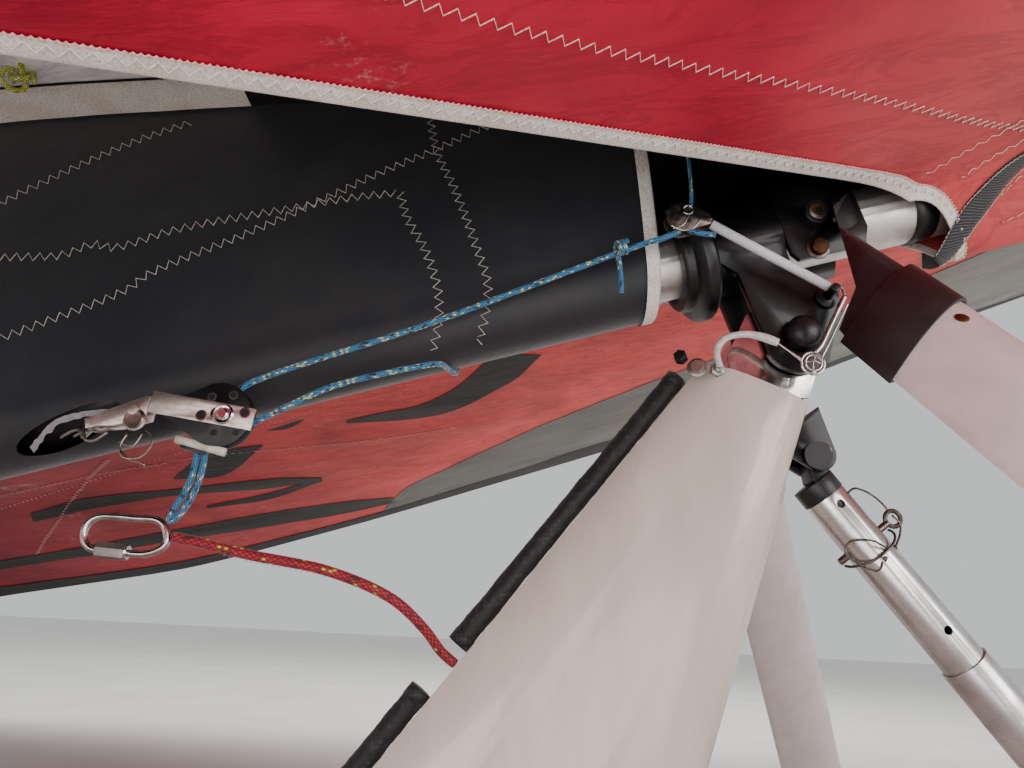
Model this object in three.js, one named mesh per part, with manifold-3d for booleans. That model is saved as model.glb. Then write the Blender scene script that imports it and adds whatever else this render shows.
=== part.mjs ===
// Hang-point centre section of a microlight trike: the top of the pylon with its fairing and mast
// head, the hang bolt and bracket, the telescopic front strut, the keel with its pocket and sail
// centre, the tops of the control frame, and the pitch trim line with its blocks.
// Millimetres. +X forward (nose), +Y port, +Z up. The origin is the middle of the pylon's foot.

import * as THREE from 'three';
import { mergeVertices } from 'three/addons/utils/BufferGeometryUtils.js';
import Module from 'manifold-3d';

const wasm = await Module();
wasm.setup();

// Driving dimensions
const GAP = 0.3; // between solids that touch
const PYLON_HEIGHT = 465; // foot to hang bolt, upright
const MAST_RAKE = 0.45; // aft travel of the mast for each millimetre down
const MAST_RADIUS = 20;
const MAST_WALL = 3;
const MAST_TOP_AT_BOLT = -21; // the mast's axis passes this far aft of the bolt, MAST_TOP_DOWN below it
const MAST_TOP_DOWN = 45;
const HEAD_WALL = 2.5;
const HEAD_INNER = MAST_RADIUS + GAP;
const HEAD_OUTER = HEAD_INNER + HEAD_WALL;
const BOLT_RADIUS = 6;
const BOLT_HOLE = BOLT_RADIUS + GAP;
const KEEL_RADIUS = 30;
const KEEL_WALL = 2.5;
const KEEL_PITCH = THREE.MathUtils.degToRad(17.6); // nose-up attitude as parked
const HANG_DROP = 101; // keel axis to hang bolt
const KEEL_AFT = -1290;
const KEEL_FORE = 1110;
const CHEEK_INNER = 25;
const CHEEK_OUTER = 33;
const SAIL_HALF = 900; // half width of the sail's centre section
const SAIL_AFT = -1260;
const SAIL_FORE = 1080;
const CLOTH = 4; // thickness that stands for a skin of sailcloth
const FRAME_HALF_ANGLE = THREE.MathUtils.degToRad(33.9); // control frame leg from the frame's middle
const FRAME_LEAN = THREE.MathUtils.degToRad(24.3); // control frame plane, forward of upright
const FRAME_APEX = { x: -104.2, z: 198.5 }; // where the legs' axes would meet, from the bolt
const LEG_CHORD = 78;
const LEG_THICK = 30;
const LEG_WALL = 2;
const STRUT_LEAN = THREE.MathUtils.degToRad(39);
const STRUT_START = { x: 23.9, z: -130.5 }; // upper end of the bright tube, from the bolt
const STRUT_BOLT = { x: 16, z: -98 };
const STRUT_RADIUS = 17.5;
const STRUT_WALL = 1.6;
const STRUT_OUTER_RADIUS = 19.4;
const STRUT_STEP = 161; // bright tube seen before the larger one
const STRUT_END = 400;
const CORD_SIDES = 8;

// Finishes: colour, roughness, metalness
const finish = (color, roughness, metalness = 0) =>
  new THREE.MeshStandardMaterial({ color, roughness, metalness });
const FINISH = {
  whiteGrp: finish(0xe4dfdb, 0.3),
  mastAlloy: finish(0xb8babd, 0.35, 1),
  polished: finish(0xc9c4c2, 0.15, 1),
  blackAnodised: finish(0x17161a, 0.35, 0.6),
  blackPlastic: finish(0x131216, 0.25),
  blackSleeve: finish(0x141418, 0.9),
  zincBolt: finish(0xa9a8a4, 0.35, 1),
  steelWire: finish(0xb5b3ae, 0.25, 1),
  clearSleeve: finish(0xcfcdc9, 0.4),
  brightTube: finish(0xc4c8cf, 0.22, 1),
  legWhite: finish(0xd9d3d3, 0.4),
  sailRed: finish(0xa51d2e, 0.7),
  sailUpper: finish(0x98202e, 0.75),
  pocketBlack: finish(0x15161c, 0.85),
  tape: finish(0xc9c3b4, 0.8),
  webbing: finish(0x26272b, 0.85),
  blueRope: finish(0x2f6c96, 0.8),
  redRope: finish(0xa31a33, 0.8),
  whiteTube: finish(0xd5dae6, 0.5),
  creamPlastic: finish(0xd8d2bb, 0.5),
};

// Geometry tools

const toSolid = (geometry) => {
  const bare = geometry.clone();
  for (const name of Object.keys(bare.attributes)) if (name !== 'position') bare.deleteAttribute(name);
  const merged = mergeVertices(bare, 1e-4);
  return new wasm.Manifold(new wasm.Mesh({
    numProp: 3,
    vertProperties: new Float32Array(merged.attributes.position.array),
    triVerts: new Uint32Array(merged.index.array),
  }));
};

const fromSolid = (solid) => {
  const mesh = solid.getMesh();
  const geometry = new THREE.BufferGeometry();
  geometry.setAttribute('position', new THREE.BufferAttribute(mesh.vertProperties, 3));
  geometry.setIndex(new THREE.BufferAttribute(mesh.triVerts, 1));
  const flat = geometry.toNonIndexed();
  flat.computeVertexNormals();
  return flat;
};

const cut = (geometry, ...tools) =>
  fromSolid(tools.reduce((solid, tool) => solid.subtract(toSolid(tool)), toSolid(geometry)));

const join = (...geometries) =>
  fromSolid(geometries.slice(1).reduce((solid, next) => solid.add(toSolid(next)), toSolid(geometries[0])));

const v3 = (x, y, z) => new THREE.Vector3(x, y, z);

// Turns a geometry whose own axis is +Z so that it runs from one point towards another
const aim = (geometry, from, to) => {
  const turn = new THREE.Quaternion().setFromUnitVectors(v3(0, 0, 1), to.clone().sub(from).normalize());
  return geometry.applyQuaternion(turn).translate(from.x, from.y, from.z);
};

const rod = (from, to, radius, sides = 24) => {
  const length = from.distanceTo(to);
  const shape = new THREE.CylinderGeometry(radius, radius, length, sides);
  return aim(shape.rotateX(Math.PI / 2).translate(0, 0, length / 2), from, to);
};

const tube = (from, to, outer, inner, sides = 40) => {
  const length = from.distanceTo(to);
  const profile = [[inner, 0], [outer, 0], [outer, length], [inner, length], [inner, 0]];
  const ring = new THREE.LatheGeometry(profile.map(([r, z]) => new THREE.Vector2(r, z)), sides);
  return aim(ring.rotateX(Math.PI / 2), from, to);
};

// A turned piece: a list of [radius, height] that starts and ends on the axis
const turned = (from, to, profile, sides = 24) => {
  const shape = new THREE.LatheGeometry(profile.map(([r, z]) => new THREE.Vector2(r, z)), sides);
  return aim(shape.rotateX(Math.PI / 2), from, to);
};

// A round cord or bent wire through a list of points
const cord = (points, radius, steps, sides = CORD_SIDES) => {
  const section = new THREE.Shape();
  section.absarc(0, 0, radius, 0, 2 * Math.PI);
  const path = new THREE.CatmullRomCurve3(points, false, 'centripetal');
  const pipe = new THREE.ExtrudeGeometry(section, { steps, extrudePath: path, curveSegments: sides / 2 });
  return pipe;
};

// A flat plate with its outline in X and Z, between two places along Y
const plate = (outline, yLow, yHigh) => {
  const shape = outline instanceof THREE.Shape
    ? outline
    : new THREE.Shape(outline.map(([x, z]) => new THREE.Vector2(x, z)));
  const settings = { depth: yHigh - yLow, bevelEnabled: false, curveSegments: 10 };
  const solid = new THREE.ExtrudeGeometry(shape, settings);
  return solid.rotateX(Math.PI / 2).translate(0, yHigh, 0);
};

const block = (low, high) => {
  const size = high.map((value, i) => value - low[i]);
  const middle = high.map((value, i) => (value + low[i]) / 2);
  return new THREE.BoxGeometry(...size).translate(...middle);
};

const mirrored = (geometry) => {
  const copy = geometry.index ? geometry.toNonIndexed() : geometry.clone();
  const position = copy.attributes.position;
  for (let i = 0; i < position.count; i += 3) {
    for (let k = 0; k < 3; k += 1) position.setY(i + k, -position.getY(i + k));
    const second = v3(0, 0, 0).fromBufferAttribute(position, i + 1);
    const third = v3(0, 0, 0).fromBufferAttribute(position, i + 2);
    position.setXYZ(i + 1, third.x, third.y, third.z);
    position.setXYZ(i + 2, second.x, second.y, second.z);
  }
  copy.computeVertexNormals();
  return copy;
};

// A closed solid from rings of the same count of points, with flat caps cut from each end ring
const loft = (rings, capAxes = ['x', 'y']) => {
  const count = rings[0].length;
  const corners = rings.flat();
  const faces = [];
  for (let r = 0; r + 1 < rings.length; r += 1) {
    for (let i = 0; i < count; i += 1) {
      const a = r * count + i;
      const b = r * count + (i + 1) % count;
      faces.push([a, b, b + count], [a, b + count, a + count]);
    }
  }
  const [p, q] = capAxes;
  const cap = (ring) => {
    const flat = ring.map((point) => new THREE.Vector2(point[p], point[q]));
    const turn = Math.sign(THREE.ShapeUtils.area(flat));
    return THREE.ShapeUtils.triangulateShape(flat, []).map(([i, j, k]) =>
      (THREE.ShapeUtils.area([flat[i], flat[j], flat[k]]) * turn > 0 ? [i, j, k] : [i, k, j]));
  };
  const last = (rings.length - 1) * count;
  for (const [a, b, c] of cap(rings[0])) faces.push([a, c, b]);
  for (const [a, b, c] of cap(rings.at(-1))) faces.push([last + a, last + b, last + c]);
  return fromFaces(corners, faces);
};

const fromFaces = (corners, faces) => {
  const geometry = new THREE.BufferGeometry();
  const numbers = corners.flatMap((c) => [c.x, c.y, c.z]);
  geometry.setAttribute('position', new THREE.Float32BufferAttribute(numbers, 3));
  let volume = 0;
  for (const [a, b, c] of faces) {
    volume += corners[a].dot(v3(0, 0, 0).crossVectors(corners[b], corners[c])) / 6;
  }
  geometry.setIndex(faces.flatMap(([a, b, c]) => (volume > 0 ? [a, b, c] : [a, c, b])));
  const flat = geometry.toNonIndexed();
  flat.computeVertexNormals();
  return flat;
};

// A closed wire loop through points that lie in one plane
const wireLoop = (points, normal, radius, sides = CORD_SIDES) => {
  const count = points.length;
  const corners = [];
  const faces = [];
  points.forEach((point, i) => {
    const way = points[(i + 1) % count].clone().sub(points[(i + count - 1) % count]).normalize();
    const outward = v3(0, 0, 0).crossVectors(way, normal);
    for (let k = 0; k < sides; k += 1) {
      const turn = (2 * Math.PI * k) / sides;
      corners.push(point.clone()
        .addScaledVector(outward, radius * Math.cos(turn))
        .addScaledVector(normal, radius * Math.sin(turn)));
      const a = i * sides + k;
      const b = i * sides + (k + 1) % sides;
      const c = ((i + 1) % count) * sides + (k + 1) % sides;
      const d = ((i + 1) % count) * sides + k;
      faces.push([a, b, c], [a, c, d]);
    }
  });
  return fromFaces(corners, faces);
};

// A skin of even thickness over a grid of points (rows of the same count)
const skin = (rows, thickness) => {
  const across = rows[0].length;
  const lower = rows.flat().map((point) => v3(point.x, point.y, point.z - thickness / 2));
  const upper = rows.flat().map((point) => v3(point.x, point.y, point.z + thickness / 2));
  const top = lower.length;
  const faces = [];
  const quad = (a, b, c, d) => faces.push([a, b, c], [a, c, d]);
  for (let r = 0; r + 1 < rows.length; r += 1) {
    for (let i = 0; i + 1 < across; i += 1) {
      const a = r * across + i;
      const b = a + 1;
      const c = b + across;
      const d = a + across;
      quad(a, d, c, b);
      quad(top + a, top + b, top + c, top + d);
    }
  }
  const rim = [];
  for (let i = 0; i < across; i += 1) rim.push(i);
  for (let r = 1; r < rows.length; r += 1) rim.push(r * across + across - 1);
  for (let i = across - 2; i >= 0; i -= 1) rim.push((rows.length - 1) * across + i);
  for (let r = rows.length - 2; r > 0; r -= 1) rim.push(r * across);
  rim.forEach((a, i) => {
    const b = rim[(i + 1) % rim.length];
    quad(a, b, top + b, top + a);
  });
  return fromFaces([...lower, ...upper], faces);
};

const lerp = THREE.MathUtils.lerp;

// Reads a table of [station, value] at any station, straight between rows
const along = (table, station) => {
  const next = Math.max(1, table.findIndex(([at]) => at >= station));
  const row = station >= table.at(-1)[0] ? table.length - 1 : next;
  const [[a, low], [b, high]] = [table[row - 1], table[row]];
  return lerp(low, high, (station - a) / (b - a));
};

// Groups: the pylon frame has the hang bolt at its origin; the keel frame lies on the keel's axis
const object = new THREE.Group();
const atBolt = new THREE.Group();
atBolt.position.set(-(MAST_TOP_AT_BOLT - MAST_RAKE * (PYLON_HEIGHT - MAST_TOP_DOWN)), 0, PYLON_HEIGHT);
object.add(atBolt);
const onKeel = new THREE.Group();
onKeel.rotation.y = -KEEL_PITCH;
onKeel.position.set(-HANG_DROP * Math.sin(KEEL_PITCH), 0, HANG_DROP * Math.cos(KEEL_PITCH));
atBolt.add(onKeel);

const add = (group, name, geometry, material) => {
  const mesh = new THREE.Mesh(geometry, material);
  mesh.name = name;
  group.add(mesh);
  return mesh;
};

// Pylon

const FOOT_Z = -PYLON_HEIGHT;
const mastAt = (z) => v3(MAST_TOP_AT_BOLT + MAST_RAKE * (z + MAST_TOP_DOWN), 0, z);
const belowFoot = block([-900, -300, FOOT_Z - 300], [300, 300, FOOT_Z]);

add(atBolt, 'mast_tube',
  cut(tube(mastAt(FOOT_Z - 40), mastAt(-34), MAST_RADIUS, MAST_RADIUS - MAST_WALL), belowFoot),
  FINISH.mastAlloy);

const PLUG_LENGTH = 60;
const plugRadius = MAST_RADIUS - MAST_WALL - GAP;
add(atBolt, 'mast_foot_plug',
  cut(rod(mastAt(FOOT_Z - 40), mastAt(FOOT_Z + PLUG_LENGTH), plugRadius, 40), belowFoot),
  FINISH.mastAlloy);

// Fairing sections: height, rear edge, front edge, half thickness
const FAIRING_TOP_Z = 10;
const FAIRING_WALL = 2.5;
const fairingRear = (z) => -79 + 0.762 * (z + 23);
const fairingFront = (z) => 13 + 0.3305 * (z + 59);
const fairingShare = (z) => Math.min(1, Math.max(0, -z / PYLON_HEIGHT));
const fairingHalf = (z) => lerp(29.6, 38, fairingShare(z));
const fairingFlank = (z) => lerp(3.8, 2, fairingShare(z)); // how late the flank turns in to the rear
const FAIRING_REAR_HALF = 11;
const fairingRing = (z, inset) => {
  const rear = fairingRear(z) + inset * 1.4;
  const front = fairingFront(z) - inset * 1.1;
  const half = fairingHalf(z) - inset;
  const rearHalf = FAIRING_REAR_HALF - inset;
  const chord = front - rear;
  const noseLength = 0.34 * chord;
  const right = [];
  const NOSE_STEPS = 8;
  for (let i = 0; i <= NOSE_STEPS; i += 1) {
    const turn = (Math.PI / 2) * (i / NOSE_STEPS);
    right.push([front - noseLength * (1 - Math.cos(turn)), half * Math.sin(turn) ** 0.7]);
  }
  const FLANK_STEPS = 5;
  for (let i = 1; i <= FLANK_STEPS; i += 1) {
    const share = i / FLANK_STEPS;
    const bulge = 1 - share ** fairingFlank(z);
    right.push([lerp(front - noseLength, rear, share), rearHalf + (half - rearHalf) * bulge]);
  }
  const left = right.slice(1).reverse().map(([x, y]) => [x, -y]);
  return [...right, ...left].map(([x, y]) => v3(x, y, z));
};
const FAIRING_HEIGHTS = [FOOT_Z - 30, -380, -280, -180, -90, -40, FAIRING_TOP_Z];
const fairingTopRake = Math.atan2(36, 92); // the top rim falls this steeply towards the nose
const FAIRING_BOLT = { x: -70, z: -33 };
const rimCutter = new THREE.BoxGeometry(500, 300, 200)
  .translate(0, 0, 100)
  .rotateY(fairingTopRake)
  .translate(-79, 0, -23);
const strutNotch = block([-14, -19, -142], [60, 19, -30]);
add(atBolt, 'pylon_fairing',
  cut(
    loft(FAIRING_HEIGHTS.map((z) => fairingRing(z, 0))),
    loft([FOOT_Z - 60, ...FAIRING_HEIGHTS.slice(1), FAIRING_TOP_Z + 20]
      .map((z) => fairingRing(z, FAIRING_WALL))),
    rimCutter,
    strutNotch,
    rod(v3(FAIRING_BOLT.x, -60, FAIRING_BOLT.z), v3(FAIRING_BOLT.x, -5, FAIRING_BOLT.z), 3.2 + GAP, 12),
    belowFoot,
  ),
  FINISH.whiteGrp);

// Mast head: a channel of bright sheet, open aft, that carries the hang bolt
const headOutline = () => {
  const shape = new THREE.Shape();
  shape.moveTo(-54, -60);
  shape.lineTo(-57, -34);
  shape.lineTo(-60, -20);
  shape.lineTo(-43, 19);
  shape.quadraticCurveTo(-38, 26, -30, 26);
  shape.lineTo(4, 24);
  shape.absarc(0, 0, 24, THREE.MathUtils.degToRad(80), THREE.MathUtils.degToRad(-35), true);
  shape.lineTo(8, -52);
  shape.lineTo(-14, -57);
  shape.lineTo(-27, -84);
  shape.lineTo(-52, -84);
  shape.closePath();
  return shape;
};
const boltBore = rod(v3(0, -80, 0), v3(0, 80, 0), BOLT_HOLE);
const mastEnvelope = rod(mastAt(-200), mastAt(-20), MAST_RADIUS + GAP, 40);
const headWeb = plate(
  [[17.5, -22], [14.5, -24], [1, -62], [-12, -84], [-16, -84], [-3, -60], [10.5, -20], [14.5, -18]],
  -HEAD_OUTER, HEAD_OUTER);
// The web is narrower where it stands inside the fairing's nose
const HEAD_CORNERS = [[17, 40], [-40, -17]].flatMap(([low, high]) => [
  block([-9, low, -100], [40, high, -52]),
  block([-17, low, -100], [40, high, -58]),
]);
add(atBolt, 'mast_head',
  cut(
    join(
      plate(headOutline(), -HEAD_OUTER, -HEAD_INNER),
      plate(headOutline(), HEAD_INNER, HEAD_OUTER),
      headWeb,
    ),
    boltBore,
    mastEnvelope,
    ...HEAD_CORNERS,
  ),
  FINISH.polished);

// Hang bolt: plain shank, domed nut on the starboard end, hexagon head on the port end
const SHANK_HALF = 37;
const CAP_RADIUS = 14.5;
add(atBolt, 'hang_bolt',
  join(
    rod(v3(0, -SHANK_HALF, 0), v3(0, SHANK_HALF, 0), BOLT_RADIUS),
    turned(v3(0, -CHEEK_OUTER - GAP, 0), v3(0, -CHEEK_OUTER - 20, 0),
      [[0, 0], [CAP_RADIUS, 0], [CAP_RADIUS, 9], [12.5, 13], [8, 16], [0, 17]]),
    rod(v3(0, CHEEK_OUTER + GAP, 0), v3(0, CHEEK_OUTER + 9, 0), 11, 6),
  ),
  FINISH.blackAnodised);

// Strut lug: a fork from the mast head's front web
const LUG_INNER = 12;
const LUG_OUTER = 16.5;
const lugOutline = () => {
  const shape = new THREE.Shape();
  shape.moveTo(17.5, -57);
  shape.lineTo(28, -90);
  const { degToRad } = THREE.MathUtils;
  shape.absarc(STRUT_BOLT.x, STRUT_BOLT.z, 14, degToRad(25), degToRad(-120), true);
  shape.lineTo(-9, -100);
  shape.lineTo(-11.6, -84);
  shape.closePath();
  return shape;
};
const lugBore = rod(v3(STRUT_BOLT.x, -40, STRUT_BOLT.z), v3(STRUT_BOLT.x, 40, STRUT_BOLT.z), 5 + GAP);
const webClear = plate([[22, -10], [1.4, -62], [-11.6, -84.2], [-60, -84.2], [-60, -10]], -30, 30);
add(atBolt, 'strut_lug',
  cut(
    join(
      plate(lugOutline(), -LUG_OUTER, -LUG_INNER),
      plate(lugOutline(), LUG_INNER, LUG_OUTER),
      plate([[17.5, -57], [19.5, -63], [-2, -84], [-11.6, -84]], -LUG_OUTER, LUG_OUTER),
    ),
    lugBore,
    webClear,
  ),
  FINISH.blackAnodised);

// Bolt and nut through the fairing's upper rear corner
add(atBolt, 'fairing_bolt',
  join(
    rod(v3(FAIRING_BOLT.x, -33, FAIRING_BOLT.z), v3(FAIRING_BOLT.x, -16, FAIRING_BOLT.z), 3.2, 12),
    rod(v3(FAIRING_BOLT.x, -30, FAIRING_BOLT.z), v3(FAIRING_BOLT.x, -26, FAIRING_BOLT.z), 6.2, 6),
  ),
  FINISH.zincBolt);

// Braided sleeves over the hinge edge at the fairing's rear
const SLEEVE_RADIUS = 9;
const sleevePoint = (z) => v3(fairingRear(z) - (SLEEVE_RADIUS + GAP) * 1.26, 0, z);
const SLEEVES = [
  // name, upper height, lower height
  ['sleeve_upper', -33, -262],
  ['sleeve_lower', -296, FOOT_Z + 4],
];
for (const [name, top, bottom] of SLEEVES) {
  add(atBolt, name, rod(sleevePoint(bottom), sleevePoint(top), SLEEVE_RADIUS, 20), FINISH.blackSleeve);
}

// Safety pin on its lanyard: a coiled eye with two legs, one of which hooks over the bracket's stud
const PIN_EYE = v3(2.6, -47.6, -29.9);
const PIN_TOP = v3(34, -47.6, 33);
const PIN_EYE_RADIUS = 8;
const PIN_LEGS_APART = 3.6;
const PIN_HOOK = [[22.4, 39.6], [26.8, 41.4], [31.6, 38.2], [33.4, 31.5]];
const pinSide = PIN_TOP.clone().sub(PIN_EYE).normalize();
const pinAcross = v3(pinSide.z, 0, -pinSide.x);
const pinPoints = PIN_HOOK.map(([x, z]) => v3(x, PIN_EYE.y, z));
const EYE_STEPS = 10;
for (let i = 0; i <= EYE_STEPS; i += 1) {
  const turn = THREE.MathUtils.degToRad(lerp(115, 425, i / EYE_STEPS));
  pinPoints.push(PIN_EYE.clone()
    .addScaledVector(pinSide, PIN_EYE_RADIUS * Math.sin(turn))
    .addScaledVector(pinAcross, PIN_EYE_RADIUS * Math.cos(turn))
    .add(v3(0, lerp(0, -PIN_LEGS_APART, i / EYE_STEPS), 0)));
}
pinPoints.push(PIN_TOP.clone()
  .addScaledVector(pinAcross, 3.2)
  .addScaledVector(pinSide, -8)
  .add(v3(0, -PIN_LEGS_APART, 0)));
add(atBolt, 'safety_pin', cord(pinPoints, 1.1, 56, 6), FINISH.steelWire);

const LANYARD = [
  [-70, -36, -33], [-72.5, -37, -20], [-66, -38, -9], [-50, -41, -5], [-36, -44, -8], [-24, -46, -13],
];
const LANYARD_WIRE = [[-36, -44, -8], [-24, -46, -13], [-16, -47, -20], [-7.7, -48.1, -28]];
add(atBolt, 'pin_lanyard',
  join(cord(LANYARD.map((p) => v3(...p)), 2.6, 14), cord(LANYARD_WIRE.map((p) => v3(...p)), 0.9, 12, 6)),
  FINISH.clearSleeve);

// Front strut

const strutDown = v3(Math.sin(STRUT_LEAN), 0, -Math.cos(STRUT_LEAN));
const strutSide = v3(Math.cos(STRUT_LEAN), 0, Math.sin(STRUT_LEAN));
const strutAt = (s) => v3(STRUT_START.x, 0, STRUT_START.z).addScaledVector(strutDown, s);
const EAR_HALF = LUG_INNER - 0.5;
const FITTING_TOP = -14.5;
const spigotRadius = STRUT_RADIUS - STRUT_WALL - GAP;
add(atBolt, 'strut_fitting',
  cut(
    join(
      rod(strutAt(FITTING_TOP), strutAt(-GAP), STRUT_RADIUS + 0.6, 40),
      rod(strutAt(-2), strutAt(30), spigotRadius, 40),
      plate([[STRUT_BOLT.x - 8, STRUT_BOLT.z + 7], [STRUT_BOLT.x + 4, STRUT_BOLT.z + 10.5],
        [STRUT_BOLT.x + 11, STRUT_BOLT.z + 2], [STRUT_BOLT.x + 9, STRUT_BOLT.z - 9],
        [strutAt(-8).x + 8, strutAt(-8).z], [strutAt(-14).x - 4, strutAt(-14).z]], -EAR_HALF, EAR_HALF),
    ),
    lugBore,
  ),
  FINISH.blackPlastic);

add(atBolt, 'strut_bolt',
  join(
    rod(v3(STRUT_BOLT.x, -20, STRUT_BOLT.z), v3(STRUT_BOLT.x, 20, STRUT_BOLT.z), 5),
    rod(v3(STRUT_BOLT.x, -24, STRUT_BOLT.z), v3(STRUT_BOLT.x, -LUG_OUTER - 1.8, STRUT_BOLT.z), 9, 6),
    rod(
      v3(STRUT_BOLT.x, -LUG_OUTER - 2, STRUT_BOLT.z),
      v3(STRUT_BOLT.x, -LUG_OUTER - GAP, STRUT_BOLT.z),
      10.5,
    ),
    rod(v3(STRUT_BOLT.x, LUG_OUTER + GAP, STRUT_BOLT.z), v3(STRUT_BOLT.x, 24, STRUT_BOLT.z), 9, 6),
  ),
  FINISH.zincBolt);

// Adjusting holes along the upper tube: distance down the tube
const STRUT_HOLES = [10, 131];
const PIN_PLACE = 47;
const acrossStrut = (s, radius) =>
  rod(strutAt(s).addScaledVector(strutSide, -40), strutAt(s).addScaledVector(strutSide, 40), radius, 16);
const holeThrough = (s) => rod(strutAt(s).add(v3(0, -40, 0)), strutAt(s).add(v3(0, 40, 0)), 3.5, 16);
const INNER_END = 330;
add(atBolt, 'strut_tube_upper',
  cut(tube(strutAt(0), strutAt(INNER_END), STRUT_RADIUS, STRUT_RADIUS - STRUT_WALL),
    ...STRUT_HOLES.map(holeThrough), acrossStrut(PIN_PLACE, 3 + GAP)),
  FINISH.brightTube);
add(atBolt, 'strut_tube_lower',
  tube(strutAt(STRUT_STEP), strutAt(STRUT_END), STRUT_OUTER_RADIUS, STRUT_RADIUS + GAP),
  FINISH.brightTube);

// Quick-release pin with a ring eye, and its wire bail round the tube
const pinCentre = strutAt(PIN_PLACE);
const eyeCentre = pinCentre.clone().addScaledVector(strutSide, 34);
const pinEye = new THREE.TorusGeometry(6.5, 2, 8, 20)
  .rotateX(Math.PI / 2)
  .translate(eyeCentre.x, eyeCentre.y, eyeCentre.z);
add(atBolt, 'strut_pin',
  join(
    rod(
      pinCentre.clone().addScaledVector(strutSide, -26),
      pinCentre.clone().addScaledVector(strutSide, 28),
      3,
      16,
    ),
    pinEye,
  ),
  FINISH.steelWire);
const bailPoints = [];
const BAIL_STEPS = 12;
for (let i = 0; i <= BAIL_STEPS; i += 1) {
  const turn = Math.PI * (i / BAIL_STEPS);
  bailPoints.push(pinCentre.clone()
    .addScaledVector(strutSide, -24.5 * Math.cos(turn))
    .addScaledVector(strutDown, 4.6 + 7 * Math.sin(turn))
    .add(v3(0, -20.5 * Math.sin(turn), 0)));
}
add(atBolt, 'strut_pin_bail', cord(bailPoints, 1.1, 24), FINISH.steelWire);

// Hang bracket: a collar that turns on the keel, with two cheeks down to the hang bolt

const COLLAR_AFT = -48;
const COLLAR_FORE = 18;
const COLLAR_RADIUS = 38;
const cheekOutline = () => {
  const shape = new THREE.Shape();
  const foot = -HANG_DROP;
  shape.moveTo(COLLAR_AFT + 2, 6);
  shape.lineTo(COLLAR_AFT + 2, -18);
  shape.lineTo(-32, -34);
  shape.lineTo(-29, foot - 6);
  shape.absarc(-1, foot, 32, THREE.MathUtils.degToRad(195), THREE.MathUtils.degToRad(300), false);
  shape.lineTo(40, -88);
  shape.absarc(33, -76, 11, THREE.MathUtils.degToRad(-40), THREE.MathUtils.degToRad(85), false);
  shape.lineTo(COLLAR_FORE - 2, -44);
  shape.lineTo(COLLAR_FORE - 2, 6);
  shape.closePath();
  return shape;
};
const keelBore = rod(v3(-200, 0, 0), v3(200, 0, 0), KEEL_RADIUS + 0.4, 48);
const cheekBore = rod(v3(0, -80, -HANG_DROP), v3(0, 80, -HANG_DROP), BOLT_HOLE);
const BOSS = { u: 32, w: -75 };
add(onKeel, 'hang_bracket',
  cut(
    join(
      rod(v3(COLLAR_AFT, 0, 0), v3(COLLAR_FORE, 0, 0), COLLAR_RADIUS, 48),
      plate(cheekOutline(), -CHEEK_OUTER, -CHEEK_INNER),
      plate(cheekOutline(), CHEEK_INNER, CHEEK_OUTER),
      rod(v3(BOSS.u, -CHEEK_OUTER - 6, BOSS.w), v3(BOSS.u, -CHEEK_OUTER + 2, BOSS.w), 10),
      rod(v3(BOSS.u, -CHEEK_OUTER - 24, BOSS.w), v3(BOSS.u, -CHEEK_OUTER - 5, BOSS.w), 4, 16),
      rod(v3(BOSS.u, CHEEK_OUTER - 2, BOSS.w), v3(BOSS.u, CHEEK_OUTER + 6, BOSS.w), 10),
    ),
    keelBore,
    cheekBore,
  ),
  FINISH.blackAnodised);

// Keel and what is bolted to it

const FRAME_BOLT = { u: 52, w: 2 };
const frameBoltAt = (v) => v3(FRAME_BOLT.u, v, FRAME_BOLT.w);
const frameBoltBore = rod(frameBoltAt(-80), frameBoltAt(80), 5 + GAP, 20);
const keelHole = rod(v3(66, -80, -5), v3(66, 80, -5), 3.2, 12);
add(onKeel, 'keel_tube',
  cut(tube(v3(KEEL_AFT, 0, 0), v3(KEEL_FORE, 0, 0), KEEL_RADIUS, KEEL_RADIUS - KEEL_WALL, 48),
    frameBoltBore, keelHole),
  FINISH.mastAlloy);

const SADDLE_RADIUS = 56;
add(onKeel, 'rear_saddle',
  cut(
    turned(v3(-76, 0, 0), v3(0, 0, 0),
      [
        [0, 0], [42, 0], [44, 3], [44, 9], [52, 11],
        [SADDLE_RADIUS, 15], [SADDLE_RADIUS, 24], [52, 27.5], [0, 27.5],
      ],
      48),
    rod(v3(-200, 0, 0), v3(200, 0, 0), KEEL_RADIUS + GAP, 48),
  ),
  FINISH.blackPlastic);

const BRACKET_AFT = 18.6;
const BRACKET_FORE = 93;
const BRACKET_INNER = KEEL_RADIUS + GAP;
const BRACKET_OUTER = 36;
add(onKeel, 'control_frame_bracket',
  cut(
    join(
      plate([[BRACKET_AFT + 5, -36], [BRACKET_FORE - 8, -36], [BRACKET_FORE, -20], [BRACKET_FORE, 20],
        [BRACKET_FORE - 14, 37], [BRACKET_AFT + 5, 37], [BRACKET_AFT, 30], [BRACKET_AFT, -28]],
      -BRACKET_OUTER, BRACKET_OUTER),
    ),
    block([-40, -BRACKET_INNER, -60], [200, BRACKET_INNER, 0]),
    rod(v3(-40, 0, 0), v3(200, 0, 0), KEEL_RADIUS + GAP, 48),
    frameBoltBore,
    rod(v3(66, -80, -5), v3(66, 80, -5), 5, 12),
  ),
  FINISH.blackAnodised);

add(onKeel, 'frame_bolt',
  join(
    rod(v3(FRAME_BOLT.u, -40, FRAME_BOLT.w), v3(FRAME_BOLT.u, 40, FRAME_BOLT.w), 5, 20),
    rod(frameBoltAt(-44), frameBoltAt(-BRACKET_OUTER - GAP), 8.5, 20),
    rod(v3(FRAME_BOLT.u, BRACKET_OUTER + GAP, FRAME_BOLT.w), v3(FRAME_BOLT.u, 44, FRAME_BOLT.w), 8.5, 6),
  ),
  FINISH.zincBolt);

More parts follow.
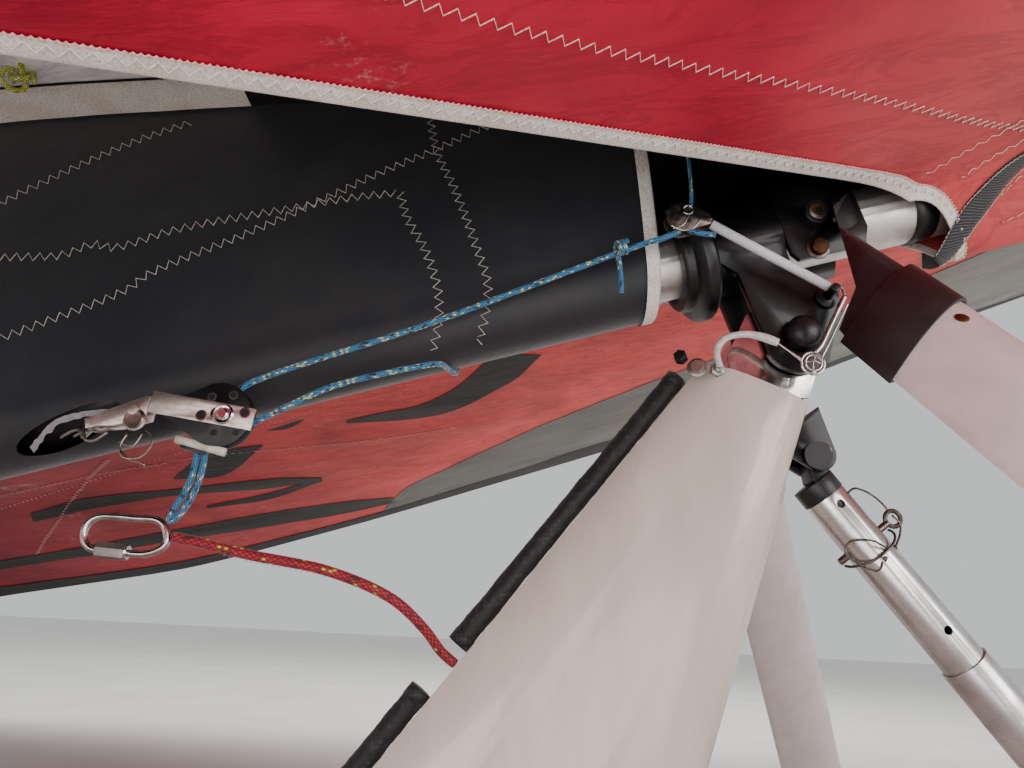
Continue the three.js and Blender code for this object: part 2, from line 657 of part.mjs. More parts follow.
// Control frame: legs in a plane that leans forward. Frames are in the bolt's own axes.
const frameDown = v3(Math.sin(FRAME_LEAN), 0, -Math.cos(FRAME_LEAN));
const legChordWay = v3(Math.cos(FRAME_LEAN), 0, Math.sin(FRAME_LEAN));
const SIDES = [
  // name, sign along Y
  ['starboard', -1],
  ['port', 1],
];
const legWay = (side) => frameDown.clone().multiplyScalar(Math.cos(FRAME_HALF_ANGLE))
  .add(v3(0, side * Math.sin(FRAME_HALF_ANGLE), 0));
const legThickWay = (side) => v3(0, side * Math.cos(FRAME_HALF_ANGLE), 0)
  .addScaledVector(frameDown, -Math.sin(FRAME_HALF_ANGLE));
const legAt = (side, t) => v3(FRAME_APEX.x, 0, FRAME_APEX.z).addScaledVector(legWay(side), t);
const LEG_TOP = 325;
const LEG_BOTTOM = 835;
const COVER_TOP = 303;
const COVER_BOTTOM = 349;
const COVER_SLANT = 0.42; // its ends are cut this much off square, lower at the trailing edge

// Streamlined outline: round nose, greatest thickness at a third, tail closed to a small round
const streamline = (chord, thick, steps = 8) => {
  const nose = 0.36 * chord;
  const upper = [];
  for (let i = 0; i <= steps; i += 1) {
    const turn = (Math.PI / 2) * (i / steps);
    upper.push([chord / 2 - nose * (1 - Math.cos(turn)), (thick / 2) * Math.sin(turn)]);
  }
  for (let i = 1; i <= steps; i += 1) {
    const share = i / steps;
    const half = (thick / 2) * (1 - share ** 2);
    upper.push([lerp(chord / 2 - nose, -chord / 2, share), Math.max(half, 0)]);
  }
  const lower = upper.slice(1, -1).reverse().map(([c, h]) => [c, -h]);
  return [...upper, ...lower];
};
const legRing = (side, t, outline, slant) => outline.map(([c, h]) => legAt(side, t - slant * c)
  .addScaledVector(legChordWay, c)
  .addScaledVector(legThickWay(side), h));
const legSolid = (side, stations, slant = 0) =>
  loft(stations.map(([t, outline]) => legRing(side, t, outline, slant)), ['x', 'y']);

const LEG_OUTLINE = streamline(LEG_CHORD, LEG_THICK);
const LEG_INNER = streamline(LEG_CHORD - 6, LEG_THICK - 2 * LEG_WALL);
const COVER_CLEAR = streamline(LEG_CHORD + 2 * GAP + 1.6, LEG_THICK + 2 * GAP);
const COVER_OUTLINE = streamline(LEG_CHORD + 7, LEG_THICK + 5);
const ARM_END = 234;
const ARM_SECTIONS = [[205, 26, 13], [ARM_END, 25, 12]]; // distance down the leg, half chord, half thickness
const SHOULDER_OUTLINE = streamline(LEG_CHORD - 2, LEG_THICK - 2);
const SHOULDER_START = streamline(56, 25).map(([c, h]) => [c + 8, h]);
const SPIGOT_OUTLINE = streamline(LEG_CHORD - 7, LEG_THICK - 2 * LEG_WALL - 1);
const keelInverse = new THREE.Matrix4().compose(onKeel.position, onKeel.quaternion, v3(1, 1, 1));
const fromKeel = (u, v, w) => v3(u, v, w).applyMatrix4(keelInverse);

for (const [name, side] of SIDES) {
  const rootCorners = [[88, 15], [88, -15], [50, -15], [50, 15]];
  const root = rootCorners.map(([u, w]) => fromKeel(u, side * (BRACKET_OUTER + GAP), w));
  const arm = ARM_SECTIONS.map(([t, chord, thick]) =>
    [[chord, thick], [chord, -thick], [-chord, -thick], [-chord, thick]].map(([c, h]) => legAt(side, t)
      .addScaledVector(legChordWay, c)
      .addScaledVector(legThickWay(side), h)));
  const boltHead = rod(
    fromKeel(FRAME_BOLT.u, side * 30, FRAME_BOLT.w),
    fromKeel(FRAME_BOLT.u, side * 90, FRAME_BOLT.w),
    10,
  );
  add(atBolt, `knuckle_${name}`,
    cut(
      join(
        loft([root, ...arm], ['x', 'z']),
        legSolid(side, [[ARM_END - 12, SHOULDER_START], [LEG_TOP - GAP, SHOULDER_OUTLINE]]),
        legSolid(side, [[LEG_TOP - 4, SPIGOT_OUTLINE], [375, SPIGOT_OUTLINE]]),
      ),
      boltHead,
    ),
    FINISH.blackAnodised);
  add(atBolt, `leg_${name}`,
    cut(
      legSolid(side, [[LEG_TOP, LEG_OUTLINE], [LEG_BOTTOM, LEG_OUTLINE]]),
      legSolid(side, [[LEG_TOP - 10, LEG_INNER], [LEG_BOTTOM + 10, LEG_INNER]]),
    ),
    FINISH.legWhite);
  add(atBolt, `leg_cover_${name}`,
    cut(
      legSolid(side, [[COVER_TOP, COVER_OUTLINE], [COVER_BOTTOM, COVER_OUTLINE]], COVER_SLANT),
      legSolid(side, [[COVER_TOP - 10, COVER_CLEAR], [COVER_BOTTOM + 10, COVER_CLEAR]], COVER_SLANT),
    ),
    FINISH.blackPlastic);
}

// Sail

// Heights above the keel's axis, by station along the keel
const EDGE_HEIGHT = [[-1150, 20], [-855, -13], [-503, -10], [58, 10], [659, 79], [1080, 117]];
const CROWN_HEIGHT = [
  [-1150, 335], [-632, 300], [-390, 256], [-100, 215], [216, 190], [600, 150], [1080, 84],
];
const OPENING_NOSE = 180; // where the opening's edge crosses under the keel
const OPENING_TURN = 132; // where the straight edges begin
const OPENING_HALF = 45;
const OPENING_SPREAD = 0.463; // how fast the edges part going aft
const openingHalf = (u) => {
  if (u >= OPENING_NOSE) return GAP / 2;
  if (u > OPENING_TURN) {
    const share = (u - OPENING_TURN) / (OPENING_NOSE - OPENING_TURN);
    return Math.max(GAP / 2, OPENING_HALF * Math.sqrt(1 - share ** 2));
  }
  return OPENING_HALF + OPENING_SPREAD * (OPENING_TURN - u);
};
const rootHeight = (u) => {
  const slope = u < OPENING_TURN ? 0.09 : 0.016;
  return 5 + slope * Math.abs(OPENING_TURN - u);
};
const TROUGH_LOW = 56; // the skin dips this far below the keel's axis to pass under the tube
const TROUGH_HALF = 36;
const lowerHeight = (u, v) => {
  const half = Math.abs(v);
  const root = openingHalf(Math.min(u, OPENING_TURN));
  const share = Math.max(0, (half - root) / (SAIL_HALF - root));
  const depth = TROUGH_LOW + rootHeight(u);
  const trough = u > OPENING_TURN - 40 ? depth * Math.exp(-((half / TROUGH_HALF) ** 2)) : 0;
  return lerp(rootHeight(u), along(EDGE_HEIGHT, u), share) - trough;
};
const upperHeight = (u, v) => {
  const edge = along(EDGE_HEIGHT, u) + CLOTH + 2 * GAP;
  const share = Math.abs(v) / SAIL_HALF;
  return lerp(along(CROWN_HEIGHT, u), edge, share ** 2.2);
};

const LOWER_STATIONS = [
  SAIL_AFT, -1150, -1000, -855, -680, -503, -330, -160, 58, 92, OPENING_TURN, 155, 170, 177,
  OPENING_NOSE, 230, 320, 430, 550, 659, 800, 940, SAIL_FORE,
];
// Shares of the way from the opening's edge to the outer edge
const LOWER_SHARES = [0, 0.015, 0.03, 0.045, 0.065, 0.09, 0.13, 0.2, 0.35, 0.55, 0.78, 1];
const lowerRows = (side) => LOWER_STATIONS.map((u) => LOWER_SHARES.map((share) => {
  const half = lerp(openingHalf(u), SAIL_HALF, share);
  return v3(u, side * half, lowerHeight(u, half));
}));
for (const [name, side] of SIDES) {
  add(onKeel, `sail_lower_${name}`, skin(lowerRows(side), CLOTH), FINISH.sailRed);
}

const UPPER_STATIONS = [
  SAIL_AFT, -1150, -855, -632, -503, -390, -240, -100, 58, 216, 400, 600, 659, 850, SAIL_FORE,
];
const UPPER_SHARES = [-1, -0.94, -0.86, -0.75, -0.6, -0.4, -0.2, 0, 0.2, 0.4, 0.6, 0.75, 0.86, 0.94, 1];
add(onKeel, 'sail_upper',
  skin(UPPER_STATIONS.map((u) => UPPER_SHARES.map((share) =>
    v3(u, share * SAIL_HALF, upperHeight(u, share * SAIL_HALF)))), CLOTH),
  FINISH.sailUpper);

// Binding tape under the opening's edge, from one tail to the other
const BINDING_WIDTH = 17;
const BINDING_THICK = 1.6;
const BINDING_DROP = 1.5;
const bindingRows = [];
const bindingPoint = (u, side) => {
  const half = openingHalf(u);
  const ahead = openingHalf(u + 0.5);
  const slope = (ahead - half) / 0.5;
  const scale = Math.hypot(1, slope);
  const inner = v3(u, side * half, 0);
  const outer = v3(u + (slope * BINDING_WIDTH) / scale, side * (half + BINDING_WIDTH / scale), 0);
  for (const point of [inner, outer]) {
    point.z = lowerHeight(point.x, point.y) - CLOTH / 2 - BINDING_DROP - BINDING_THICK / 2;
  }
  return [inner, outer];
};
const BINDING_STATIONS = [
  -1150, -855, -503, -330, -160, 58, OPENING_TURN, 155, 170, 176, 178.5, 179.6,
];
for (const u of BINDING_STATIONS) bindingRows.push(bindingPoint(u, -1));
const noseHeight = lowerHeight(OPENING_NOSE, 0) - CLOTH / 2 - BINDING_DROP - BINDING_THICK / 2;
const noseInner = v3(OPENING_NOSE, 0, noseHeight);
bindingRows.push([noseInner, v3(OPENING_NOSE + BINDING_WIDTH, 0, noseInner.z)]);
for (const u of [...BINDING_STATIONS].reverse()) bindingRows.push(bindingPoint(u, 1));
add(onKeel, 'opening_binding', skin(bindingRows, BINDING_THICK), FINISH.tape);

// Keel pocket: a fin of cloth round the keel, up to the sail's crown
const POCKET_RADIUS = 39;
const POCKET_DROP = 6; // the pocket hangs this far below the keel's axis
const POCKET_TOP_HALF = 6;
const pocketRing = (u) => {
  const top = along(CROWN_HEIGHT, u) - CLOTH / 2 - 3;
  const ring = [];
  const ARC = 12;
  const reach = THREE.MathUtils.degToRad(14);
  for (let i = 0; i <= ARC; i += 1) {
    const turn = lerp(reach, -Math.PI - reach, i / ARC);
    ring.push([POCKET_RADIUS * Math.cos(turn), POCKET_RADIUS * Math.sin(turn) - POCKET_DROP]);
  }
  const shoulder = ring[0];
  const FLANK = [0.35, 0.7, 1];
  const bulge = [6, 4, 0];
  const left = FLANK.map((share, i) => [
    -lerp(shoulder[0], POCKET_TOP_HALF, share) - bulge[i],
    lerp(shoulder[1], top, share),
  ]);
  const right = [...left].reverse().map(([v, w]) => [-v, w]);
  return [...ring, ...left, ...right].map(([v, w]) => v3(u, v, w));
};
const POCKET_FRONT = { low: -109, high: -38 }; // the front edge leans forward going up
const pocketStations = [SAIL_AFT + 10, -1150, -855, -632, -390, -240, -100, -20];
const frontCutter = plate(
  [[POCKET_FRONT.low, -60], [POCKET_FRONT.high, 250], [60, 250], [60, -60]],
  -80,
  80,
);
const anchorHole = new THREE.SphereGeometry(1, 20, 14)
  .scale(48, 34, 24)
  .rotateY(-0.12)
  .translate(-578, -32, -38);
add(onKeel, 'keel_pocket',
  cut(
    loft(pocketStations.map(pocketRing), ['y', 'z']),
    rod(v3(-1400, 0, 0), v3(100, 0, 0), KEEL_RADIUS + GAP, 48),
    frontCutter,
    anchorHole,
  ),
  FINISH.pocketBlack);

// Pitch trim: a large block shackled to the keel, a line to a small block at the hang bracket

const TRIM_V = -57;
const BIG = { u: -474, w: -58, radius: 25 };
const teardrop = (centre, radius, tipU, tipW) => {
  const shape = new THREE.Shape();
  const away = Math.atan2(tipW - centre.w, tipU - centre.u);
  const spread = 1.15;
  shape.absarc(centre.u, centre.w, radius, away + spread, away - spread + 2 * Math.PI, false);
  shape.lineTo(tipU + 4 * Math.sin(away), tipW - 4 * Math.cos(away));
  shape.lineTo(tipU - 4 * Math.sin(away), tipW + 4 * Math.cos(away));
  shape.closePath();
  return shape;
};
const bigPlate = () => teardrop(BIG, BIG.radius, BIG.u - 40, BIG.w + 14);
const bigAxle = (low, high, radius) =>
  rod(v3(BIG.u, TRIM_V + low, BIG.w), v3(BIG.u, TRIM_V + high, BIG.w), radius, 20);
add(onKeel, 'trim_block',
  cut(
    join(
      plate(bigPlate(), TRIM_V - 7.5, TRIM_V - 4.8),
      plate(bigPlate(), TRIM_V + 4.8, TRIM_V + 7.5),
      bigAxle(-10.5, 8.5, 4.4),
      plate(
        [
          [BIG.u - 40, BIG.w + 9], [BIG.u - 28, BIG.w + 5],
          [BIG.u - 28, BIG.w + 16], [BIG.u - 40, BIG.w + 19],
        ],
        TRIM_V - 5, TRIM_V + 5),
      plate(
        [
          [BIG.u - 12, BIG.w - 21], [BIG.u - 30, BIG.w - 12],
          [BIG.u - 32, BIG.w - 18], [BIG.u - 16, BIG.w - 28],
        ],
        TRIM_V - 5, TRIM_V + 5),
    ),
    rod(v3(BIG.u - 22, TRIM_V, BIG.w - 40), v3(BIG.u - 22, TRIM_V, BIG.w + 4), 3.3, 12),
  ),
  FINISH.blackPlastic);
// A grooved wheel on an axle along Y
const sheave = (u, v, w, radius, half, bore) => new THREE.LatheGeometry(
  [[bore, -half], [radius, -half], [radius - 3, 0], [radius, half], [bore, half], [bore, -half]]
    .map(([r, y]) => new THREE.Vector2(r, y)), 28).translate(u, v, w);
add(onKeel, 'trim_sheave', sheave(BIG.u, TRIM_V, BIG.w, 17, 4.2, 4.4 + GAP), FINISH.creamPlastic);

// Steel strap over the near cheek, ending in a forked shackle
const STRAP = [[-521, -36], [-448, -70]];
const strapAngle = Math.atan2(STRAP[1][1] - STRAP[0][1], STRAP[1][0] - STRAP[0][0]);
const strapWay = [Math.cos(strapAngle), Math.sin(strapAngle)];
const strapCorner = (lengthwise, sideways) => [
  STRAP[0][0] + lengthwise * strapWay[0] - sideways * strapWay[1],
  STRAP[0][1] + lengthwise * strapWay[1] + sideways * strapWay[0]];
const strapLength = Math.hypot(STRAP[1][0] - STRAP[0][0], STRAP[1][1] - STRAP[0][1]);
add(onKeel, 'trim_strap',
  cut(
    plate(
      [
        strapCorner(0, -8.5), strapCorner(strapLength, -8.5),
        strapCorner(strapLength, 8.5), strapCorner(0, 8.5),
      ],
      TRIM_V - 10, TRIM_V - 7.5 - GAP),
    bigAxle(-30, 30, 4.4 + GAP),
  ),
  FINISH.steelWire);
const SHACKLE_LEAF = [
  [-567, -44], [-550, -48], [-527, -47.5], [-519.9, -32.3], [-523, -31], [-550, -34], [-567, -38],
];
const ANCHOR = [[-566, -56, -41], [-575, -50, -41], [-586, -40, -41], [-590, -21.2, -22.6]];
add(onKeel, 'trim_shackle',
  join(
    plate(SHACKLE_LEAF, TRIM_V - 10, TRIM_V - 7.5),
    plate(SHACKLE_LEAF, TRIM_V + 3, TRIM_V + 5.5),
    rod(v3(-534, TRIM_V - 13, -40), v3(-534, TRIM_V + 8, -40), 4, 16),
    plate([[-571, -45], [-564, -45], [-564, -37], [-571, -37]], TRIM_V - 10, TRIM_V + 5.5),
    cord(ANCHOR.map((p) => v3(...p)), 2.2, 8),
  ),
  FINISH.steelWire);

const SMALL = { u: -77.5, v: -67, w: 10.8, radius: 13 };
const smallPlate = () => teardrop(SMALL, SMALL.radius, SMALL.u + 22, SMALL.w - 8);
add(onKeel, 'small_block',
  join(
    plate(smallPlate(), SMALL.v - 6.6, SMALL.v - 5),
    plate(smallPlate(), SMALL.v + 5, SMALL.v + 6.6),
    rod(v3(SMALL.u, SMALL.v - 7.6, SMALL.w), v3(SMALL.u, SMALL.v + 7.6, SMALL.w), 3, 16),
    rod(
      v3(SMALL.u + 21, SMALL.v - 7.6, SMALL.w - 7.6),
      v3(SMALL.u + 21, SMALL.v + 7.6, SMALL.w - 7.6),
      2,
      12,
    ),
  ),
  FINISH.steelWire);
add(onKeel, 'small_sheave', sheave(SMALL.u, SMALL.v, SMALL.w, 9.5, 4, 3 + GAP), FINISH.creamPlastic);

const TRIM_LINE = [
  [-464, TRIM_V, -43.6], [-448, TRIM_V, -37], [-300, -57.5, -23],
  [-119, -63, -1], [-96, -67, -1], [-81.5, -67, 1.6],
];
add(onKeel, 'trim_line', cord(TRIM_LINE.map((p) => v3(...p)), 2.5, 28), FINISH.blueRope);
const SLACK_LINE = [
  [-464, TRIM_V, -72.4], [-436, TRIM_V, -66], [-388, -56, -55.5],
  [-320, -54, -56.5], [-275, -36, -54], [-246, -10, -46.8],
];
add(onKeel, 'slack_line', cord(SLACK_LINE.map((p) => v3(...p)), 2.5, 20), FINISH.blueRope);
const LIFT_LINE = [
  [-68.6, -67, 12], [-60, -66, 35], [-48, -62, 80], [-38, -56, 120], [-28, -42, 165], [-22, -30, 204.8],
];
add(onKeel, 'lift_line', cord(LIFT_LINE.map((p) => v3(...p)), 1.6, 24), FINISH.blueRope);
const WHITE_TUBE = [[-54.2, -67, 1.2], [BOSS.u - 2.3, -49.1, BOSS.w + 4.7]];
add(onKeel, 'white_tube', rod(v3(...WHITE_TUBE[0]), v3(...WHITE_TUBE[1]), 4, 16), FINISH.whiteTube);

// Hanging tail of the trim line, the quick link, and the red cord to the pylon
const TAIL = [[-496, -89], [-499, -100], [-508, -114], [-517, -123.5]];
const TAIL_HALF = 3.2; // half the distance between the two strands
const strand = (side) =>
  TAIL.map(([u, w]) => v3(u + side * TAIL_HALF * 0.85, TRIM_V, w - side * TAIL_HALF * 0.52));
const tailPoints = [...strand(-1), v3(-522.6, TRIM_V, -128.7), ...strand(1).reverse()];
add(onKeel, 'tail_rope', cord(tailPoints, 2.5, 24), FINISH.blueRope);

const LINK = { x: -523, y: -57, z: -197, half: 25, round: 9, wire: 3.4, tilt: 0.1 };
const linkPoint = (lengthwise, upward) => v3(
  LINK.x + lengthwise * Math.cos(LINK.tilt) - upward * Math.sin(LINK.tilt),
  LINK.y,
  LINK.z + lengthwise * Math.sin(LINK.tilt) + upward * Math.cos(LINK.tilt));
const linkPoints = [];
const LINK_ARC = 6;
for (const [end, start] of [[1, -90], [-1, 90]]) {
  for (let i = 0; i <= LINK_ARC; i += 1) {
    const turn = THREE.MathUtils.degToRad(start + (180 * i) / LINK_ARC);
    linkPoints.push(linkPoint(end * LINK.half + LINK.round * Math.cos(turn), LINK.round * Math.sin(turn)));
  }
}
add(atBolt, 'quick_link',
  join(
    wireLoop(linkPoints, v3(0, 1, 0), LINK.wire, 10),
    rod(linkPoint(-16, -LINK.round), linkPoint(4, -LINK.round), 5.6, 6),
  ),
  FINISH.steelWire);

const RED_CORD = [
  [-485.6, -57, -195.5], [-468, -56, -198], [-430, -54, -205], [-369, -50, -214],
  [-322, -41, -231], [-297, -25, -252], [-284.4, -11, -267.7], [-273.9, -6, -276],
];
add(atBolt, 'red_cord', cord(RED_CORD.map((p) => v3(...p)), 4, 24), FINISH.redRope);

export default object;
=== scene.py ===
# %% [markdown]
# The hang point of a flex-wing microlight, seen from below. The model comes in as a frame that already
# has every solid at its real place, so this lesson only gives the pieces their cloth, metal, stitching and
# rope.

# %% Load the frame
import math
import bmesh
import bpy
from mathutils import Matrix, Vector, noise


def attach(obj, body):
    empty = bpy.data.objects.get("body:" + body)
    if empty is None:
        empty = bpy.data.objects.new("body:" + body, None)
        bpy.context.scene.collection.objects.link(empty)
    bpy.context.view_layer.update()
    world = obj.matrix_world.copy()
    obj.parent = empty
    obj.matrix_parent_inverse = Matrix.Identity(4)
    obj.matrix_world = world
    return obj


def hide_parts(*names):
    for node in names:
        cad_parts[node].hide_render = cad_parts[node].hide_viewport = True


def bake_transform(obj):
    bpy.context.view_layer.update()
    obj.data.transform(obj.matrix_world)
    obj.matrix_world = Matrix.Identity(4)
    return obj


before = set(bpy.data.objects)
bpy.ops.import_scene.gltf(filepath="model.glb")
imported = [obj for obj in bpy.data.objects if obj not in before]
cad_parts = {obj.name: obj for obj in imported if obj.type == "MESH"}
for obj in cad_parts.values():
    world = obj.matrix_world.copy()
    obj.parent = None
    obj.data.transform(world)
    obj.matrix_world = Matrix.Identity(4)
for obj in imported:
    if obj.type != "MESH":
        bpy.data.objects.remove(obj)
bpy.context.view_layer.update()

# %% [markdown]
# Two sets of axes make every place easy to name. The first starts at the hang bolt, with X forward, Y to
# port and Z up. The second lies along the keel tube, which is parked 17.6 degrees nose up: u runs forward
# along its axis, v to port and w square to it. Both are written in millimetres, as on a workshop drawing.

# %% Places on the aircraft
BOLT_ABOVE_FOOT = Vector((210, 0, 465))
KEEL_PITCH = math.radians(17.6)
HANG_DROP = 101


def at_bolt(x, y, z):
    return (Vector((x, y, z)) + BOLT_ABOVE_FOOT) / 1000


def on_keel(u, v, w):
    x = u * math.cos(KEEL_PITCH) - (w + HANG_DROP) * math.sin(KEEL_PITCH)
    z = u * math.sin(KEEL_PITCH) + (w + HANG_DROP) * math.cos(KEEL_PITCH)
    return at_bolt(x, v, z)


print("hang bolt at", tuple(round(c, 3) for c in at_bolt(0, 0, 0)))

# %% [markdown]
# The photograph was taken from the starboard side, looking up. The camera stands in the same place, a
# little above the floor, with the same tilt and the same field of view. Its right and up directions are
# made square to each other, and with the one that points back they form its axes.

# %% Camera
CAMERA_PLACE = Vector((-0.031, -0.637, 0.2233))
CAMERA_RIGHT = Vector((0.9986, -0.0153, 0.0500))
CAMERA_UP = Vector((-0.0523, -0.2929, 0.9547))
camera = bpy.data.objects.new("camera", bpy.data.cameras.new("camera"))
camera.data.lens = 27.03
camera.data.sensor_width = 36
camera.data.clip_start = 0.01
camera_back = CAMERA_RIGHT.cross(CAMERA_UP).normalized()
true_up = camera_back.cross(CAMERA_RIGHT).normalized()
axes = Matrix((CAMERA_RIGHT.normalized(), true_up, camera_back)).transposed()
camera.matrix_world = Matrix.Translation(CAMERA_PLACE) @ axes.to_4x4()
bpy.context.scene.collection.objects.link(camera)
bpy.context.scene.camera = camera
print("camera looks along", tuple(round(-c, 3) for c in camera_back))

# %% [markdown]
# Most pieces here are either skins or round things that follow a line, and both end as a mesh made from
# lists of corners and faces. One helper makes the mesh, smooths it and lets it ride on a body.

# %% A new piece
def new_piece(name, corners, faces, body=None, smooth=True):
    mesh = bpy.data.meshes.new(name)
    mesh.from_pydata([tuple(c) for c in corners], [], faces)
    mesh.validate()
    if smooth:
        mesh.shade_smooth()
    piece = bpy.data.objects.new(name, mesh)
    bpy.context.scene.collection.objects.link(piece)
    if body:
        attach(piece, body)
    return piece


print("a new piece takes corners, faces and the body that it rides on")

# %% [markdown]
# Ropes, wires and seams pass through a few places that were measured. A Catmull-Rom line goes through
# every one of them, and its centripetal form makes no loops where two of them lie close together.

# %% Smooth line
def smooth_line(points, step):
    """Points on a centripetal Catmull-Rom line, about one step apart."""
    points = [Vector(p) for p in points]
    ends = [points[0] * 2 - points[1], *points, points[-1] * 2 - points[-2]]
    line = [points[0]]
    for p0, p1, p2, p3 in zip(ends, ends[1:], ends[2:], ends[3:]):
        t1 = math.sqrt((p1 - p0).length)
        t2 = t1 + math.sqrt((p2 - p1).length)
        t3 = t2 + math.sqrt((p3 - p2).length)
        count = max(1, round((p2 - p1).length / step))
        for i in range(1, count + 1):
            t = t1 + (t2 - t1) * i / count
            a1 = p0 * ((t1 - t) / t1) + p1 * (t / t1)
            a2 = p1 * ((t2 - t) / (t2 - t1)) + p2 * ((t - t1) / (t2 - t1))
            a3 = p2 * ((t3 - t) / (t3 - t2)) + p3 * ((t - t2) / (t3 - t2))
            b1 = a1 * ((t2 - t) / t2) + a2 * (t / t2)
            b2 = a2 * ((t3 - t) / (t3 - t1)) + a3 * ((t - t1) / (t3 - t1))
            line.append(b1 * ((t2 - t) / (t2 - t1)) + b2 * ((t - t1) / (t2 - t1)))
    return line


def line_length(line):
    return sum((b - a).length for a, b in zip(line, line[1:]))


print("a bend through three corners of a unit square is",
      round(line_length(smooth_line([(0, 0, 0), (1, 0, 0), (1, 1, 0)], 0.1)), 3), "long")

# %% [markdown]
# A rope, a wire or a thread is a tube swept along such a line. It keeps how far round and how far along
# each point lies, in metres, so that a braid can be drawn on it later. Many fine threads share one mesh,
# because thousands of small objects would be slow.

# %% Tubes
def tube_parts(line, radius, sides, closed=False, wave=None):
    """Corners, faces and (round, along) pairs of a tube. wave(along, turn) adds to the radius."""
    count = len(line)
    corners, faces, marks = [], [], []
    side = None
    along = 0.0
    for i, point in enumerate(line):
        before = line[i - 1] if i or closed else point
        after = line[(i + 1) % count] if i + 1 < count or closed else point
        way = (after - before).normalized()
        if side is None:
            side = way.orthogonal().normalized()
        side = (side - way * side.dot(way)).normalized()
        other = way.cross(side)
        if i:
            along += (point - line[i - 1]).length
        for k in range(sides):
            turn = 2 * math.pi * k / sides
            reach = radius + (wave(along, turn) if wave else 0)
            corners.append(point + (side * math.cos(turn) + other * math.sin(turn)) * reach)
            marks.append((k / sides, along))
    for i in range(count if closed else count - 1):
        for k in range(sides):
            j, m = (i + 1) % count, (k + 1) % sides
            faces.append((i * sides + k, i * sides + m, j * sides + m, j * sides + k))
    if not closed:
        faces.append(tuple(reversed(range(sides))))
        faces.append(tuple(range((count - 1) * sides, count * sides)))
    return corners, faces, marks


def mark_uv(piece, marks):
    """Keeps how far round (0 to 1) and how far along (metres) each corner of the tube lies."""
    layer = piece.data.uv_layers.new(name="round_along")
    for polygon in piece.data.polygons:
        rounds = [marks[v][0] for v in polygon.vertices]
        wraps = max(rounds) - min(rounds) > 0.5
        for loop, vertex in zip(polygon.loop_indices, polygon.vertices):
            around, along = marks[vertex]
            layer.data[loop].uv = (around + 1 if wraps and around < 0.5 else around, along)


def tube(name, points, radius, body=None, sides=12, step=None, closed=False, wave=None, curved=True):
    line = smooth_line(points, step or radius) if curved else [Vector(p) for p in points]
    if closed and curved:
        line = smooth_line([*points, points[0]], step or radius)[:-1]
    corners, faces, marks = tube_parts(line, radius, sides, closed, wave)
    piece = new_piece(name, corners, faces, body)
    mark_uv(piece, marks)
    return piece


def many_tubes(name, lines, radius, body=None, sides=5):
    """Several fine threads or wires as one piece."""
    corners, faces = [], []
    for line in lines:
        more_corners, more_faces, _ = tube_parts([Vector(p) for p in line], radius, sides)
        start = len(corners)
        corners += more_corners
        faces += [tuple(start + v for v in face) for face in more_faces]
    return new_piece(name, corners, faces, body)


print("tubes ready")

# %% [markdown]
# Cloth, tape and webbing are skins. A skin is a grid over rows of points, and it may keep the place of each
# point on the flat cut, so that a weave or a crease can follow the cloth.

# %% Skins
def grid(name, rows, body=None, marks=None):
    """A skin over rows of points. marks, of the same shape, are (u, v) pairs in metres for its pattern."""
    across = len(rows[0])
    corners = [p for row in rows for p in row]
    faces = [
        (r * across + i, r * across + i + 1, (r + 1) * across + i + 1, (r + 1) * across + i)
        for r in range(len(rows) - 1)
        for i in range(across - 1)
    ]
    piece = new_piece(name, corners, faces, body)
    if marks:
        flat = [m for row in marks for m in row]
        layer = piece.data.uv_layers.new(name="cut")
        for loop in piece.data.loops:
            layer.data[loop.index].uv = flat[loop.vertex_index]
    return piece


print("skins ready")

# %% [markdown]
# The red cord hangs from the quick link and goes into the back of the pylon, and the slack end of the
# trim line sags from the block to the pocket. They come first, because their real lengths must fit. The
# taut lines are listed with them, in millimetres like every other place.

# %% Routes of the lines
TRIM_V = -57
RED_CORD = [
    (-485.6, -57, -195.5), (-468, -56, -198), (-430, -54, -205), (-369, -50, -214), (-322, -41, -231),
    (-297, -25, -252), (-284.4, -11, -267.7), (-273.9, -6, -276),
]
SLACK_LINE = [
    (-464, TRIM_V, -72.4), (-436, TRIM_V, -66), (-388, -56, -55.5), (-340, -53, -54), (-302, -38, -51.5),
    (-295, -13, -48.6), (-289, 9, -47.6), (-284, 31, -35.4),
]
TRIM_LINE = [
    (-464, TRIM_V, -43.6), (-448, TRIM_V, -37), (-300, -57.5, -23), (-119, -63, -1), (-96, -67, -1),
    (-81.5, -67, 1.6),
]
LIFT_LINE = [
    (-68.6, -67, 12), (-60, -66, 35), (-48, -62, 80), (-38, -56, 120), (-28, -42, 165), (-22, -30, 203.8),
]
TAIL = [(-491, -76), (-493, -84), (-499, -100), (-508, -114), (-517, -123.5)]
TAIL_TURN = (-522.6, TRIM_V, -128.7)
TAIL_HALF = 3.2
TAIL_ACROSS = (0.85, -0.52)


def strand(side):
    """One half of the loop that the rope's tail makes through the quick link."""
    across_u, across_w = TAIL_ACROSS
    return [(u + side * TAIL_HALF * across_u, TRIM_V, w + side * TAIL_HALF * across_w) for u, w in TAIL]


red_route = smooth_line([at_bolt(*p) for p in RED_CORD], 0.004)
slack_route = smooth_line([on_keel(*p) for p in SLACK_LINE], 0.004)
print("red cord", round(line_length(red_route), 4), "m, slack line", round(line_length(slack_route), 4), "m")

# %% [markdown]
# Rope is not smooth: its strands cross over each other and bulge. The tube's radius rises and falls with
# the two sets of strands, so that the outline is knobbly too, and the colours of the strands come from
# the same pattern in the material.

# %% Ropes and cord
def braided(pitch, depth, strands=6):
    def wave(along, turn):
        right = math.sin(strands / 2 * turn + 2 * math.pi * along / pitch)
        left = math.sin(strands / 2 * turn - 2 * math.pi * along / pitch)
        return depth * (abs(right) + abs(left) - 1)
    return wave


